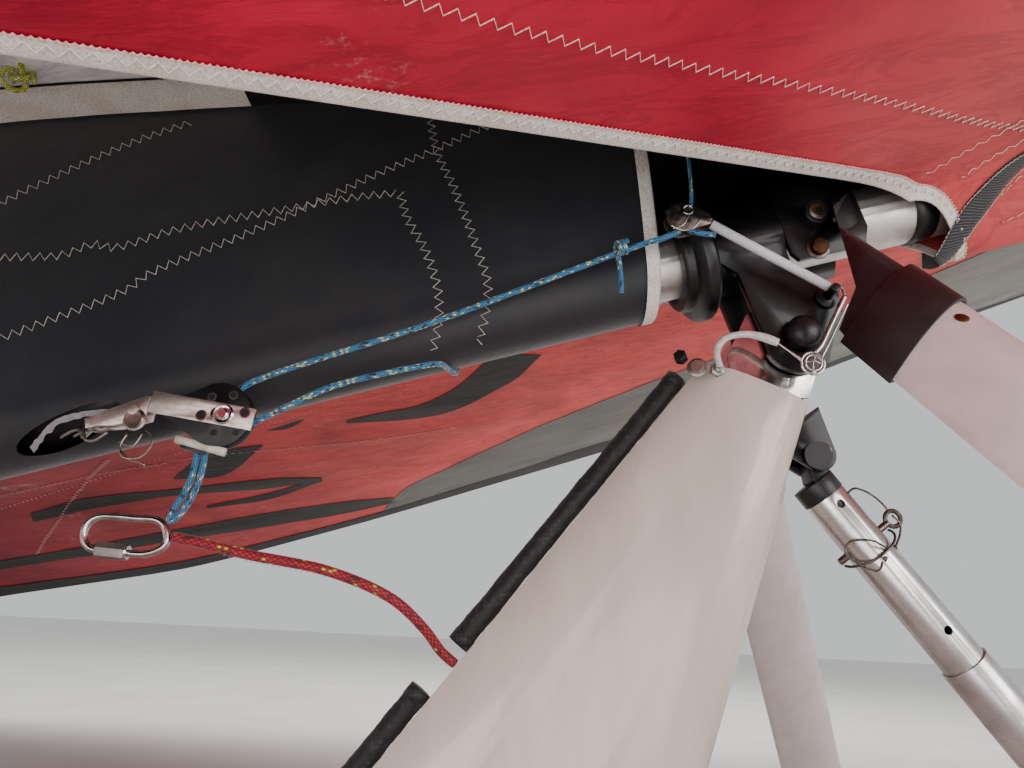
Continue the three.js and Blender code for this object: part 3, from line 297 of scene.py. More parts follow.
CORD_DIAMETER = 0.008
LINE_DIAMETER = 0.005
LINE_CORE = LINE_DIAMETER / 2 * 0.95
LIFT_CORE = 0.0015
line_braid = braided(0.006, 0.00014)
red_cord = tube("red_cord_braided", red_route, CORD_DIAMETER / 2 * 0.96, sides=16, curved=False,
                wave=braided(0.009, 0.00018))
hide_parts("red_cord")
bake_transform(red_cord)
slack_line = tube("slack_line_braided", slack_route, LINE_CORE, "wing", sides=14, curved=False,
                  wave=line_braid)
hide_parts("slack_line")
print("red cord and slack line laid")

# %% [markdown]
# The trim line, the lift line and the rope's tail are taut, and each runs between two bodies. They are
# laid in place and ride on no body.

# %% Taut lines
trim_line = tube("trim_line_braided", [on_keel(*p) for p in TRIM_LINE], LINE_CORE, sides=14, step=0.003,
                 wave=line_braid)
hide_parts("trim_line")
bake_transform(trim_line)
lift_line = tube("lift_line_braided", [on_keel(*p) for p in LIFT_LINE], LIFT_CORE, sides=10, step=0.003,
                 wave=braided(0.004, 0.0001))
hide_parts("lift_line")
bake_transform(lift_line)
tail_points = [*strand(-1), TAIL_TURN, *reversed(strand(1))]
tail_rope = tube("tail_rope_braided", [on_keel(*p) for p in tail_points], LINE_CORE, sides=14, step=0.0025,
                 wave=line_braid)
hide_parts("tail_rope")
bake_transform(tail_rope)
print("three taut lines laid")

# %% [markdown]
# A finish is a small graph of nodes. The paint chart's hex colours are turned into the linear numbers that
# Blender mixes with by one function, and one more adds a node together with its settings and its links.
# Every graph ends in the same shader, so the last helper adds that and the output.

# %% Finish helpers
def linear(hex_colour):
    """An sRGB hex colour as linear red, green, blue and a solid alpha."""
    values = [int(hex_colour[i:i + 2], 16) / 255 for i in (1, 3, 5)]
    return tuple(c / 12.92 if c <= 0.04045 else ((c + 0.055) / 1.055) ** 2.4 for c in values) + (1.0,)


def add(tree, kind, *values, outlet=None, stops=None, **words):
    """Adds a node and gives back one outlet. Values fill its open sockets, words name sockets or settings."""
    node = tree.nodes.new(kind)
    names = {socket.name.lower().replace(" ", "_") for socket in node.inputs}
    for word in [word for word in words if word not in names]:
        setattr(node, word, words.pop(word))
    open_sockets = [socket for socket in node.inputs if socket.enabled]
    named = {socket.name.lower().replace(" ", "_"): socket for socket in reversed(open_sockets)}
    for socket, value in [*zip(open_sockets, values), *((named[word], words[word]) for word in words)]:
        if isinstance(value, bpy.types.NodeSocket):
            tree.links.new(value, socket)
        else:
            socket.default_value = linear(value) if isinstance(value, str) else value
    if stops:
        marks = node.color_ramp.elements
        while len(marks) < len(stops):
            marks.new(0.5)
        for mark, (spot, colour) in zip(marks, stops):
            mark.position = spot
            mark.color = linear(colour)
    return node.outputs[outlet] if outlet else next((o for o in node.outputs if o.enabled), None)


def start_finish(name):
    finish = bpy.data.materials.new(name)
    finish.use_nodes = True
    finish.node_tree.nodes.clear()
    return finish, finish.node_tree


def end_finish(tree, **sockets):
    shader = add(tree, "ShaderNodeBsdfPrincipled", **sockets)
    add(tree, "ShaderNodeOutputMaterial", shader)


def paint(piece, finish):
    piece.data.materials.clear()
    piece.data.materials.append(finish)


print("finish helpers ready")

# %% [markdown]
# The trim line is a braided polyester rope: blue, with a few dark and yellow tracer strands, and the cord
# to the pylon is the same in red. A real strand is about 1 mm wide. Here it is drawn 1.6 to 2 mm wide,
# because from the camera's place finer ones would blur into one colour.

# %% Braided polyester
def braided_polyester(name, main, deep, tracer, strand_mm, around, tracer_share):
    finish, tree = start_finish(name)
    marks = add(tree, "ShaderNodeUVMap", uv_map="round_along")
    turn = add(tree, "ShaderNodeSeparateXYZ", marks, outlet="X")
    along_rope = add(tree, "ShaderNodeSeparateXYZ", marks, outlet="Y")
    lay = add(tree, "ShaderNodeMath", along_rope, 1000 / strand_mm / 2, operation="MULTIPLY")
    wound = add(tree, "ShaderNodeMath", turn, around, operation="MULTIPLY")
    right = add(tree, "ShaderNodeMath", wound, lay, operation="ADD")
    left = add(tree, "ShaderNodeMath", wound, lay, operation="SUBTRACT")
    right_cell = add(tree, "ShaderNodeMath", right, operation="FLOOR")
    left_cell = add(tree, "ShaderNodeMath", left, operation="FLOOR")
    right_rise = add(tree, "ShaderNodeMath", right, 0.5, operation="PINGPONG")
    left_rise = add(tree, "ShaderNodeMath", left, 0.5, operation="PINGPONG")
    rise = add(tree, "ShaderNodeMath", right_rise, left_rise, operation="MULTIPLY")
    cell = add(tree, "ShaderNodeCombineXYZ", right_cell, left_cell, 0.0)
    speck = add(tree, "ShaderNodeTexWhiteNoise", cell, noise_dimensions="3D")
    strands = add(tree, "ShaderNodeValToRGB", speck, stops=[
        (0.0, deep), (0.22, main), (1 - tracer_share, main),
        (1 - tracer_share + 0.01, tracer), (1.0, tracer)])
    # The dips between the strands are painted darker: painted shade
    shade = add(tree, "ShaderNodeValToRGB", rise, stops=[(0.0, "#4A4A4A"), (0.12, "#FFFFFF")])
    colour = add(tree, "ShaderNodeMix", 0.85, strands, shade, data_type="RGBA", blend_type="MULTIPLY")
    relief = add(tree, "ShaderNodeBump", strength=0.8, distance=0.0005, height=rise)
    end_finish(tree, base_color=colour, roughness=0.62, sheen_weight=0.25, normal=relief)
    return finish


# Polyester fibre, braided: a soft sheen with small bright strands, and painted shade in the gaps between them
blue_polyester = braided_polyester("braided polyester, blue", "#2F8CC4", "#0C1E30", "#E6E6A8", 2.1, 7, 0.14)
red_polyester = braided_polyester("braided polyester, red", "#B8142E", "#6A0C1E", "#D8B040", 2.6, 7, 0.045)
for piece in (slack_line, trim_line, lift_line, tail_rope):
    paint(piece, blue_polyester)
paint(red_cord, red_polyester)
print("ropes coloured")

# %% [markdown]
# Rigid pieces keep their solid's shape. Real metal and moulded parts have no razor edges, so each gets a
# copy whose sharp corners carry a fine round, which catches the light as a thin bright line. Only corners
# sharper than 32 degrees are rounded, because the facets of a round tube meet at less than that.

# %% Rounded copies of the rigid pieces
ROUNDED_ABOVE = math.radians(32)
SHARP_ABOVE = math.radians(40)


def finished(node, body, finish, round_mm, wedge=None):
    """The space of the wedge, if there is one, is milled away before the edges are rounded."""
    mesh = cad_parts[node].data.copy()
    work = bmesh.new()
    work.from_mesh(mesh)
    bmesh.ops.remove_doubles(work, verts=work.verts, dist=2e-6)
    bmesh.ops.dissolve_limit(work, angle_limit=math.radians(0.5), verts=work.verts, edges=work.edges)
    work.to_mesh(mesh)
    work.free()
    piece = bpy.data.objects.new(node + "_finished", mesh)
    bpy.context.scene.collection.objects.link(piece)
    if wedge:
        milled = piece.modifiers.new("milled", "BOOLEAN")
        milled.object = wedge
        milled.operation = "DIFFERENCE"
        milled.solver = "EXACT"
    edge = piece.modifiers.new("edge", "BEVEL")
    edge.width = round_mm / 1000
    edge.segments = 2
    edge.limit_method = "ANGLE"
    edge.angle_limit = ROUNDED_ABOVE
    bake(piece)
    piece.data.shade_smooth()
    piece.data.set_sharp_from_angle(angle=SHARP_ABOVE)
    paint(piece, finish)
    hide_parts(node)
    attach(piece, body)
    return piece


def bake(piece):
    """Turns a piece and its modifiers into a plain mesh."""
    graph = bpy.context.evaluated_depsgraph_get()
    shaped = bpy.data.meshes.new_from_object(piece.evaluated_get(graph))
    piece.modifiers.clear()
    piece.data = shaped


print("ready to finish", len(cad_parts), "solids")

# %% [markdown]
# Metals. The mast head and small fittings are polished stainless steel, the keel and mast are aluminium
# tube and the bolts are zinc plated. What breaks the shine is a smear of fingerprints and wiping about
# 15 mm wide, and a fine grain under 1 mm, which is drawn at 1.2 to 3 mm so that it still shows.

# %% Metal finishes
GRAINS_TO_A_SMEAR = 8


def worn_metal(name, base, dull, shine, worn, grain_mm, stretch=(1, 1, 1), grain_depth=0.02):
    finish, tree = start_finish(name)
    spot = add(tree, "ShaderNodeTexCoord", outlet="Object")
    drawn = add(tree, "ShaderNodeMapping", spot, scale=stretch)
    smear = add(tree, "ShaderNodeTexNoise", drawn, scale=1000 / GRAINS_TO_A_SMEAR / grain_mm, detail=6.0,
                roughness=0.6)
    grain = add(tree, "ShaderNodeTexNoise", drawn, scale=1000 / grain_mm, detail=3.0)
    colour = add(tree, "ShaderNodeValToRGB", smear, stops=[(0.35, dull), (0.62, base)])
    roughness = add(tree, "ShaderNodeMapRange", smear, 0.3, 0.7, worn, shine)
    relief = add(tree, "ShaderNodeBump", strength=grain_depth, distance=0.0003, height=grain)
    end_finish(tree, base_color=colour, metallic=1.0, roughness=roughness, normal=relief)
    return finish


# Stainless sheet, mirror polished: clear reflections, broken only by smears
polished_stainless = worn_metal("polished stainless steel", "#DAD6D4", "#A8A09C", 0.07, 0.22, 2.0)
# Cast and tumbled stainless: a soft warm shine with a fine grain
cast_stainless = worn_metal("cast stainless steel", "#BDB3AA", "#80756C", 0.2, 0.42, 1.5, grain_depth=0.1)
# Steel with zinc plating: a grey shine that has gone dull in patches
zinc_plate = worn_metal("zinc-plated steel", "#B8B6B0", "#84807A", 0.25, 0.5, 1.5, grain_depth=0.06)
# Tube drawn through a die: a silver shine with lengthwise streaks
drawn_aluminium = worn_metal("drawn aluminium tube", "#D8D6D5", "#B9B4B2", 0.22, 0.4, 3.0)
# Tube anodised in its natural colour: satin, pale, with only blurred reflections
satin_aluminium = worn_metal("satin anodised aluminium", "#E6E2DE", "#CFCBC8", 0.4, 0.55, 3.0)
# Stainless strip, brushed along: pale with a broad soft shine
brushed_stainless = worn_metal("brushed stainless steel", "#EADFD8", "#C4B6AD", 0.32, 0.48, 1.2,
                               stretch=(1, 3, 3), grain_depth=0.1)
# Steel that has stood outdoors: brownish grey, half dull
weathered_steel = worn_metal("weathered steel", "#7C726C", "#38312E", 0.28, 0.5, 1.5, grain_depth=0.1)
# Steel bolt, cadmium plated and gone brown: a dull copper-like shine
brown_plate = worn_metal("brown cadmium-plated bolt", "#8C6446", "#4A3024", 0.3, 0.55, 1.2, grain_depth=0.06)
print("metals mixed")

# %% [markdown]
# Blacks. Anodising is a thin dyed skin on aluminium: dark, with a metal's sheen, and grey specks where it
# is chipped. Nylon fittings are moulded and duller, and the leg covers are smooth plastic mouldings.

# %% Black finishes
def chipped_black(name, base, chip, roughness, coat, chips=0.7, metallic=0.4, speck_mm=2.2):
    finish, tree = start_finish(name)
    spot = add(tree, "ShaderNodeTexCoord", outlet="Object")
    specks = add(tree, "ShaderNodeTexNoise", spot, scale=250 / speck_mm, detail=8.0, roughness=0.7)
    dust = add(tree, "ShaderNodeTexNoise", spot, scale=22.0, detail=5.0)
    colour = add(tree, "ShaderNodeValToRGB", specks, stops=[
        (0.0, base), (chips, base), (chips + 0.03, chip), (1.0, chip)])
    dusty = add(tree, "ShaderNodeValToRGB", dust, stops=[(0.45, "#000000"), (0.8, "#1C1A1A")])
    mixed = add(tree, "ShaderNodeMix", 1.0, colour, dusty, data_type="RGBA", blend_type="ADD")
    dulled = add(tree, "ShaderNodeMapRange", dust, 0.3, 0.7, roughness, roughness + 0.15)
    relief = add(tree, "ShaderNodeBump", strength=0.05, distance=0.0004, height=specks)
    end_finish(tree, base_color=mixed, metallic=metallic, roughness=dulled, normal=relief,
               coat_weight=coat, coat_roughness=0.12)
    return finish


# Aluminium, milled and black anodised: dark satin, bright only along its edges
black_anodised = chipped_black("black anodised aluminium", "#08080A", "#8A8784", 0.3, 0.2)
# Nylon, injection moulded: dull black with a soft highlight
moulded_black = chipped_black("moulded black nylon", "#0A0A0D", "#2E2E30", 0.36, 0.1, 0.8, 0.0)
# Plastic, moulded smooth: deep black with a blurred reflection of the red sail
gloss_black = chipped_black("gloss black moulding", "#080607", "#1E1E20", 0.42, 0.06, 0.9, 0.0)
print("blacks mixed")

# %% [markdown]
# Whites. Gelcoat is the glossy outer resin of a glass-fibre moulding, here with long wiping marks. The
# control frame's legs have a powder coating, which is less glossy.

# %% White finishes
def white_skin(name, base, shade, roughness, coat, streak):
    finish, tree = start_finish(name)
    spot = add(tree, "ShaderNodeTexCoord", outlet="Object")
    drawn = add(tree, "ShaderNodeMapping", spot, scale=streak)
    wiped = add(tree, "ShaderNodeTexNoise", drawn, scale=14.0, detail=7.0, roughness=0.62)
    colour = add(tree, "ShaderNodeValToRGB", wiped, stops=[(0.3, shade), (0.6, base)])
    dulled = add(tree, "ShaderNodeMapRange", wiped, 0.3, 0.7, roughness + 0.1, roughness)
    ripple = add(tree, "ShaderNodeTexNoise", spot, scale=9.0, detail=2.0)
    relief = add(tree, "ShaderNodeBump", strength=0.12, distance=0.0015, height=ripple)
    end_finish(tree, base_color=colour, roughness=dulled, normal=relief, coat_weight=coat,
               coat_roughness=0.08)
    return finish


# Gelcoat from a polished mould: glossy, with broad soft ripples
white_gelcoat = white_skin("white gelcoat on glass fibre", "#DFD3C9", "#D0C3B9", 0.22, 0.4, (1.5, 1.5, 0.35))
# Powder coating on aluminium: even and only half glossy
white_coating = white_skin("white powder coating", "#DBCECD", "#CBBDBC", 0.38, 0.15, (2.0, 2.0, 2.0))
print("whites mixed")

# %% [markdown]
# Which finish a rigid piece gets, which body it rides on and how far its edges are rounded is easiest to
# read, and to change, in one table with a row for each.

# %% Table of the rigid pieces
RIGID = [
    # node, body, finish, rounding in mm
    ("mast_tube", "pylon", drawn_aluminium, 0.4),
    ("mast_foot_plug", "pylon", drawn_aluminium, 0.3),
    ("pylon_fairing", "pylon", white_gelcoat, 0.9),
    ("mast_head", "pylon", polished_stainless, 0.6),
    ("strut_lug", "pylon", black_anodised, 0.6),
    ("hang_bolt", "pylon", moulded_black, 0.8),
    ("fairing_bolt", "pylon", zinc_plate, 0.3),
    ("strut_fitting", "strut_upper", moulded_black, 0.8),
    ("strut_bolt", "strut_upper", weathered_steel, 0.7),
    ("strut_pin", "strut_upper", weathered_steel, 0.3),
    ("strut_tube_upper", "strut_upper", drawn_aluminium, 0.2),
    ("strut_tube_lower", "strut_lower", drawn_aluminium, 0.3),
    ("hang_bracket", "hang_block", black_anodised, 1.2),
    ("small_block", "hang_block", weathered_steel, 0.4),
    ("small_sheave", "small_sheave", moulded_black, 0.3),
    ("trim_sheave", "trim_sheave", moulded_black, 0.3),
    ("rear_saddle", "wing", moulded_black, 1.0),
    ("control_frame_bracket", "wing", black_anodised, 1.0),
    ("frame_bolt", "wing", zinc_plate, 0.8),
    ("knuckle_starboard", "wing", gloss_black, 1.5),
    ("knuckle_port", "wing", gloss_black, 1.5),
    ("leg_starboard", "wing", white_coating, 0.5),
    ("leg_port", "wing", white_coating, 0.5),
    ("leg_cover_starboard", "wing", gloss_black, 0.5),
    ("leg_cover_port", "wing", gloss_black, 0.5),
    ("keel_tube", "wing", satin_aluminium, 0.5),
    ("trim_block", "wing", moulded_black, 0.7),
    ("trim_strap", "wing", brushed_stainless, 0.4),
    ("trim_shackle", "wing", brushed_stainless, 0.5),
]
print("table of", len(RIGID), "rigid pieces")

# %% [markdown]
# The knuckles' roots are pared to a slim tongue beside the bracket, which leaves room for line and pin. A
# wedge-shaped space is cut away from each, and the port one is the starboard one's mirror image.

# %% Wedges milled off the knuckles
WEDGE = [
    # five corners towards the near side, then five towards the far side
    (-65, -272.1, -67.3), (-87.1, -291.2, -5.1), (-201.4, -289.4, -10.9), (-194.1, -248.3, -144.9),
    (-90.7, -249.9, -139.8),
    (155.1, 184, 150.8), (105.2, 141.1, 290.6), (-151.9, 145.1, 277.7), (-135.4, 237.6, -24),
    (97.2, 234, -12.3),
]
WEDGE_FACES = [
    (0, 1, 2, 3, 4), (9, 8, 7, 6, 5), (0, 5, 6, 1), (1, 6, 7, 2), (2, 7, 8, 3), (3, 8, 9, 4), (4, 9, 5, 0),
]
wedges = {}
for node, side in (("knuckle_starboard", 1), ("knuckle_port", -1)):
    wedges[node] = new_piece(node + "_wedge", [at_bolt(x, y * side, z) for x, y, z in WEDGE], WEDGE_FACES)
    block = bmesh.new()
    block.from_mesh(wedges[node].data)
    bmesh.ops.recalc_face_normals(block, faces=block.faces)
    block.to_mesh(wedges[node].data)
    block.free()
print("two wedges")

# %% [markdown]
# Now every row of the table becomes a finished piece, and the wedges have done their work.

# %% Finish every rigid piece
rigid = {}
for node, body, finish, round_mm in RIGID:
    rigid[node] = finished(node, body, finish, round_mm, wedge=wedges.get(node))
for wedge in wedges.values():
    bpy.data.objects.remove(wedge)
print("finished", len(rigid), "rigid pieces")

# %% [markdown]
# The sail's heights follow three curves: its outer edge, its crown over the keel, and the rim of the long
# opening that lets the keel and its fittings through. In front of the opening the lower skin dips under
# the keel in a trough. Writing the shape as a function of u and v means that cloth, tape, thread and
# patches all lie on exactly the same surface.

# %% Shape of the sail
SAIL_AFT = -1260
SAIL_FORE = 1080
SAIL_HALF = 900
EDGE_HEIGHT = [(-1150, 20), (-855, -13), (-503, -10), (58, 10), (659, 79), (1080, 117)]
CROWN_HEIGHT = [(-1150, 335), (-632, 300), (-390, 256), (-100, 215), (216, 190), (600, 150), (1080, 84)]
OPENING_NOSE = 180
OPENING_TURN = 132
OPENING_HALF = 45
OPENING_SPREAD = 0.463
CLOSED_HALF = 0.15
NOSE_LENGTH = OPENING_NOSE - OPENING_TURN
TROUGH_DEPTH = 56
TROUGH_FROM = 60
TROUGH_EASE = 72
TROUGH_HALF = 36
CLOTH_BELOW = 1.5
SKINS_APART = 4.6
CROWN_ARCH = 2.2
print("sail", SAIL_FORE - SAIL_AFT, "mm long and", 2 * SAIL_HALF, "mm wide, opening's nose at", OPENING_NOSE)

# %% [markdown]
# From those curves come the heights of the two skins. A coated cloth that is slack in places also has soft
# slanting folds, and these are added here as a noise that fades towards the rim and the edge.

# %% Heights of the two skins
def along(table, u):
    """The height at u on the straight lines between a table's points."""
    low, high = table[0], table[1]
    for low, high in zip(table, table[1:]):
        if u <= high[0]:
            break
    return low[1] + (high[1] - low[1]) * (u - low[0]) / (high[0] - low[0])


def eased(table, u):
    """The same height, averaged over 140 mm, which rounds the corners of the line."""
    aft = along(table, max(u - 70, SAIL_AFT))
    fore = along(table, min(u + 70, SAIL_FORE))
    return (aft + 2 * along(table, u) + fore) / 4


def opening_half(u):
    """Half the width of the opening: a long V with a round nose."""
    if u >= OPENING_NOSE:
        return CLOSED_HALF
    if u > OPENING_TURN:
        share = (u - OPENING_TURN) / NOSE_LENGTH
        return max(CLOSED_HALF, OPENING_HALF * math.sqrt(1 - share ** 2))
    return OPENING_HALF + OPENING_SPREAD * (OPENING_TURN - u)


def rim_height(u):
    return 5 + 0.09 * (OPENING_TURN - u) if u < OPENING_TURN else 5 + 0.016 * (u - OPENING_TURN)


def creases(u, v):
    """Soft folds of slack cloth, a few millimetres deep, that fade at the edges."""
    side = 7.0 if v > 0 else 1.0
    from_rim = min(1, max(0, (abs(v) - opening_half(u) - 12) / 90))
    from_edge = min(1, max(0, (SAIL_HALF - abs(v)) / 120))
    inside = from_rim * from_edge
    slanted = Vector((u / 260 + v / 420, v / 75 - u / 300, side))
    fine = Vector((u / 60, v / 38, side + 3))
    return inside * (3.4 * noise.noise(slanted) + 0.9 * noise.noise(fine))


def lower_height(u, v):
    """The lower skin: straight from rim to edge, with the trough under the keel in front."""
    half = abs(v)
    root = opening_half(min(u, OPENING_TURN))
    share = max(0, (half - root) / (SAIL_HALF - root))
    depth = TROUGH_DEPTH + rim_height(u)
    fade = min(1, max(0, (u - TROUGH_FROM) / TROUGH_EASE))
    trough = depth * math.exp(-((half / TROUGH_HALF) ** 2)) * fade if u > TROUGH_FROM else 0
    straight = rim_height(u) + (eased(EDGE_HEIGHT, u) - rim_height(u)) * share
    return straight - trough - CLOTH_BELOW + creases(u, v)


def upper_height(u, v):
    """The upper skin: an arch from the crown down to the edge."""
    edge = eased(EDGE_HEIGHT, u) + SKINS_APART
    share = abs(v) / SAIL_HALF
    return eased(CROWN_HEIGHT, u) + (edge - eased(CROWN_HEIGHT, u)) * share ** CROWN_ARCH - CLOTH_BELOW


def on_lower(u, v, out=0.0):
    """A point on the lower skin, out millimetres below it."""
    return on_keel(u, v, lower_height(u, v) - out)


print("rim of the opening at its turn", opening_half(OPENING_TURN), "mm from the keel")

# %% [markdown]
# Sailcloth is a tight plain weave of polyester, coated and dyed. Light falls through it more and more
# towards the nose, and that light is painted into its colour, which goes from crimson aft to salmon in front.
# Its creases are painted darker as painted shade, and it shows pale scuffs and a fine weave, 0.3 mm apart,
# which is drawn at 1.2 mm to show at all.

# %% Sailcloth
def sailcloth(name, aft, fore, from_u, to_u, scuff="#EBC9BF", crease_mm=60, shine=0.3, scuffs=0.35):
    finish, tree = start_finish(name)
    cut = add(tree, "ShaderNodeUVMap", uv_map="cut")
    run = add(tree, "ShaderNodeSeparateXYZ", cut, outlet="X")
    lit = add(tree, "ShaderNodeMapRange", run, from_u / 1000, to_u / 1000, 0.0, 1.0)
    # The change from the aft colour to the front one is painted light, for light that falls through the cloth
    lit_through_colour = add(tree, "ShaderNodeMix", lit, aft, fore, data_type="RGBA")
    patches = add(tree, "ShaderNodeTexNoise", cut, scale=4.5, detail=5.0, roughness=0.55, distortion=0.6)
    cloud = add(tree, "ShaderNodeValToRGB", patches, stops=[(0.3, "#C4C4C4"), (0.6, "#FFFFFF")])
    colour = add(tree, "ShaderNodeMix", 1.0, lit_through_colour, cloud, data_type="RGBA", blend_type="MULTIPLY")
    slant = add(tree, "ShaderNodeMapping", cut, rotation=(0, 0, 0.5), scale=(1.0, 3.2, 1.0))
    folds = add(tree, "ShaderNodeTexNoise", slant, scale=1000 / crease_mm / 2, detail=6.0, roughness=0.68,
                distortion=0.9)
    ridge = add(tree, "ShaderNodeMath", folds, 0.5, operation="SUBTRACT")
    ridge = add(tree, "ShaderNodeMath", ridge, operation="ABSOLUTE")
    # Dark lines along the folds are painted shade in the creases
    crease_shade = add(tree, "ShaderNodeValToRGB", ridge, stops=[(0.0, "#8A8A8A"), (0.05, "#FFFFFF")])
    crease_shaded = add(tree, "ShaderNodeMix", 0.3, colour, crease_shade, data_type="RGBA", blend_type="MULTIPLY")
    chafe = add(tree, "ShaderNodeTexNoise", cut, scale=70.0, detail=9.0, roughness=0.8)
    where = add(tree, "ShaderNodeTexNoise", cut, scale=9.0, detail=2.0)
    marked = add(tree, "ShaderNodeMath", chafe, where, operation="MULTIPLY")
    marks = add(tree, "ShaderNodeMapRange", marked, 0.36, 0.46, 0.0, scuffs)
    scuffed = add(tree, "ShaderNodeMix", marks, crease_shaded, scuff, data_type="RGBA")
    # The bands of a Wave texture are 314 / scale millimetres apart, here 1.2 mm
    warp = add(tree, "ShaderNodeTexWave", cut, scale=262, bands_direction="X")
    weft = add(tree, "ShaderNodeTexWave", cut, scale=262, bands_direction="Y")
    weave = add(tree, "ShaderNodeMath", warp, weft, operation="MULTIPLY")
    folded = add(tree, "ShaderNodeBump", strength=0.5, distance=0.004, height=folds)
    relief = add(tree, "ShaderNodeBump", strength=0.12, distance=0.0003, height=weave, normal=folded)
    end_finish(tree, base_color=scuffed, roughness=0.45, specular_ior_level=shine, normal=relief)
    return finish


# Polyester, woven and coated: red, salmon in front as painted light that falls through it, with a faint gloss
# that slides over the folds
red_sailcloth = sailcloth("red polyester sailcloth", "#CC1B3E", "#E87068", -60, 430)
port_sailcloth = sailcloth("red polyester sailcloth, lit through", "#86142E", "#FF6664", -1150, -160,
                           crease_mm=45, shine=0.06)
# The crown cloth is painted dark grey as painted shade, for the shade inside the wing
crown_cloth_in_painted_shade = sailcloth("dark polyester sailcloth", "#2E2A2C", "#352C2C", -900, 500, "#4A4444")
grey_sailcloth = sailcloth("grey polyester sailcloth", "#4A4642", "#8A867A", -500, 500, "#9A968A")
white_sailcloth = sailcloth("white polyester sailcloth", "#F2F4F8", "#F6F6F6", -900, -400, "#DADCE0")
print("sailcloth woven")

# %% [markdown]
# Each panel is one grid over the shape function. Rows crowd together near the rim of the opening and in
# the round of its nose, where the curve is tight. The pattern coordinates are u and v in metres, as on the
# sailmaker's flat cut.

# %% Sail panels
NOSE_TURNS = [math.radians(90 * i / 14) for i in range(15)]
lower_stations = [SAIL_AFT + (OPENING_TURN - 2 - SAIL_AFT) * i / 105 for i in range(106)]
lower_stations += [OPENING_TURN + NOSE_LENGTH * math.sin(t) for t in NOSE_TURNS]
lower_stations += [OPENING_NOSE + 900 * (i / 70) for i in range(1, 71)]
lower_shares = [(i / 70) ** 1.5 for i in range(71)]


def lower_panel(name, node, side, finish):
    rows, marks = [], []
    for u in lower_stations:
        half = opening_half(u)
        places = [side * (half + (SAIL_HALF - half) * share) for share in lower_shares]
        rows.append([on_lower(u, v) for v in places])
        marks.append([(u / 1000, v / 1000) for v in places])
    panel = grid(name, rows, "wing", marks)
    paint(panel, finish)
    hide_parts(node)
    return panel


near_panel = lower_panel("near_lower_sail", "sail_lower_starboard", -1, red_sailcloth)
far_panel = lower_panel("far_lower_sail", "sail_lower_port", 1, port_sailcloth)
upper_rows, upper_marks = [], []
for i in range(91):
    u = SAIL_AFT + (SAIL_FORE - SAIL_AFT) * i / 90
    places = [SAIL_HALF * (k / 40) for k in range(-40, 41)]
    upper_rows.append([on_keel(u, v, upper_height(u, v)) for v in places])
    upper_marks.append([(u / 1000, v / 1000) for v in places])
crown_panel = grid("crown_sail", upper_rows, "wing", upper_marks)
paint(crown_panel, crown_cloth_in_painted_shade)
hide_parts("sail_upper")
print("sail panels have", sum(len(p.data.polygons) for p in (near_panel, far_panel, crown_panel)), "faces")

# %% [markdown]
# The panels were cut flat before they were sewn. The lower panels aren't rectangles, because the opening is
# cut out of them, so the area of one is summed from its faces and printed.

def skin_area(piece):
    return sum(polygon.area for polygon in piece.data.polygons)


print("lower panel", round(skin_area(near_panel), 3), "square metres")

# %% [markdown]
# Colour patches are sewn under the red cloth: a grey leading panel, a black hem along the outer edge, and
# plain dark swooshes. Each patch is a narrow grid between two lines on the skin, a hair below it. The far
# side has them all, and the near side repeats the first two.

# %% Patches on the sail
def patch(name, first, second, side, finish, out=0.8, across=6, step=22):
    """A grid between two lines of (u, v) on the lower skin."""
    curves = [smooth_line([Vector((u, v, 0)) for u, v in line], 3) for line in (first, second)]
    count = max(2, round(line_length(curves[0]) / step))
    rows, marks = [], []
    for i in range(count + 1):
        a, b = (curve[round(i * (len(curve) - 1) / count)] for curve in curves)
        between = [a.lerp(b, k / across) for k in range(across + 1)]
        rows.append([on_lower(p.x, side * p.y, out) for p in between])
        marks.append([(p.x / 1000, p.y / 1000) for p in between])
    piece = grid(name, rows, "wing", marks)
    paint(piece, finish)


# Black polyester hem tape and black insignia cloth: dark, matt, greyer where light comes through
black_sailcloth = sailcloth("black polyester insignia cloth", "#100E10", "#2A2624", -900, -120, "#4A443C",
                            shine=0.08, scuffs=0.15)
GREY_EDGE = [(-470, 862), (-407, 752), (-267, 652), (-135, 548), (7, 446), (200, 350), (356, 284), (431, 199),
             (620, 120), (1070, 40)]
GREY_OUTER = [(u, 884) for u, v in GREY_EDGE]
HEM = [(-1256, 866), (-1147, 868), (-868, 864), (-548, 866), (-425, 862), (-235, 842), (-14, 806), (167, 800),
       (600, 806), (1075, 820)]
HEM_OUTER = [(u, 899) for u, v in HEM]
for name, side in (("far", 1), ("near", -1)):
    patch(name + "_grey_panel", GREY_EDGE, GREY_OUTER, side, grey_sailcloth, across=30)
    patch(name + "_hem", HEM, HEM_OUTER, side, black_sailcloth, out=1.4, across=4, step=30)
print("grey panels and hems laid")

# %% [markdown]
# The swooshes are plain curved bands. Each is drawn by its two edges, as a sailmaker would cut it.

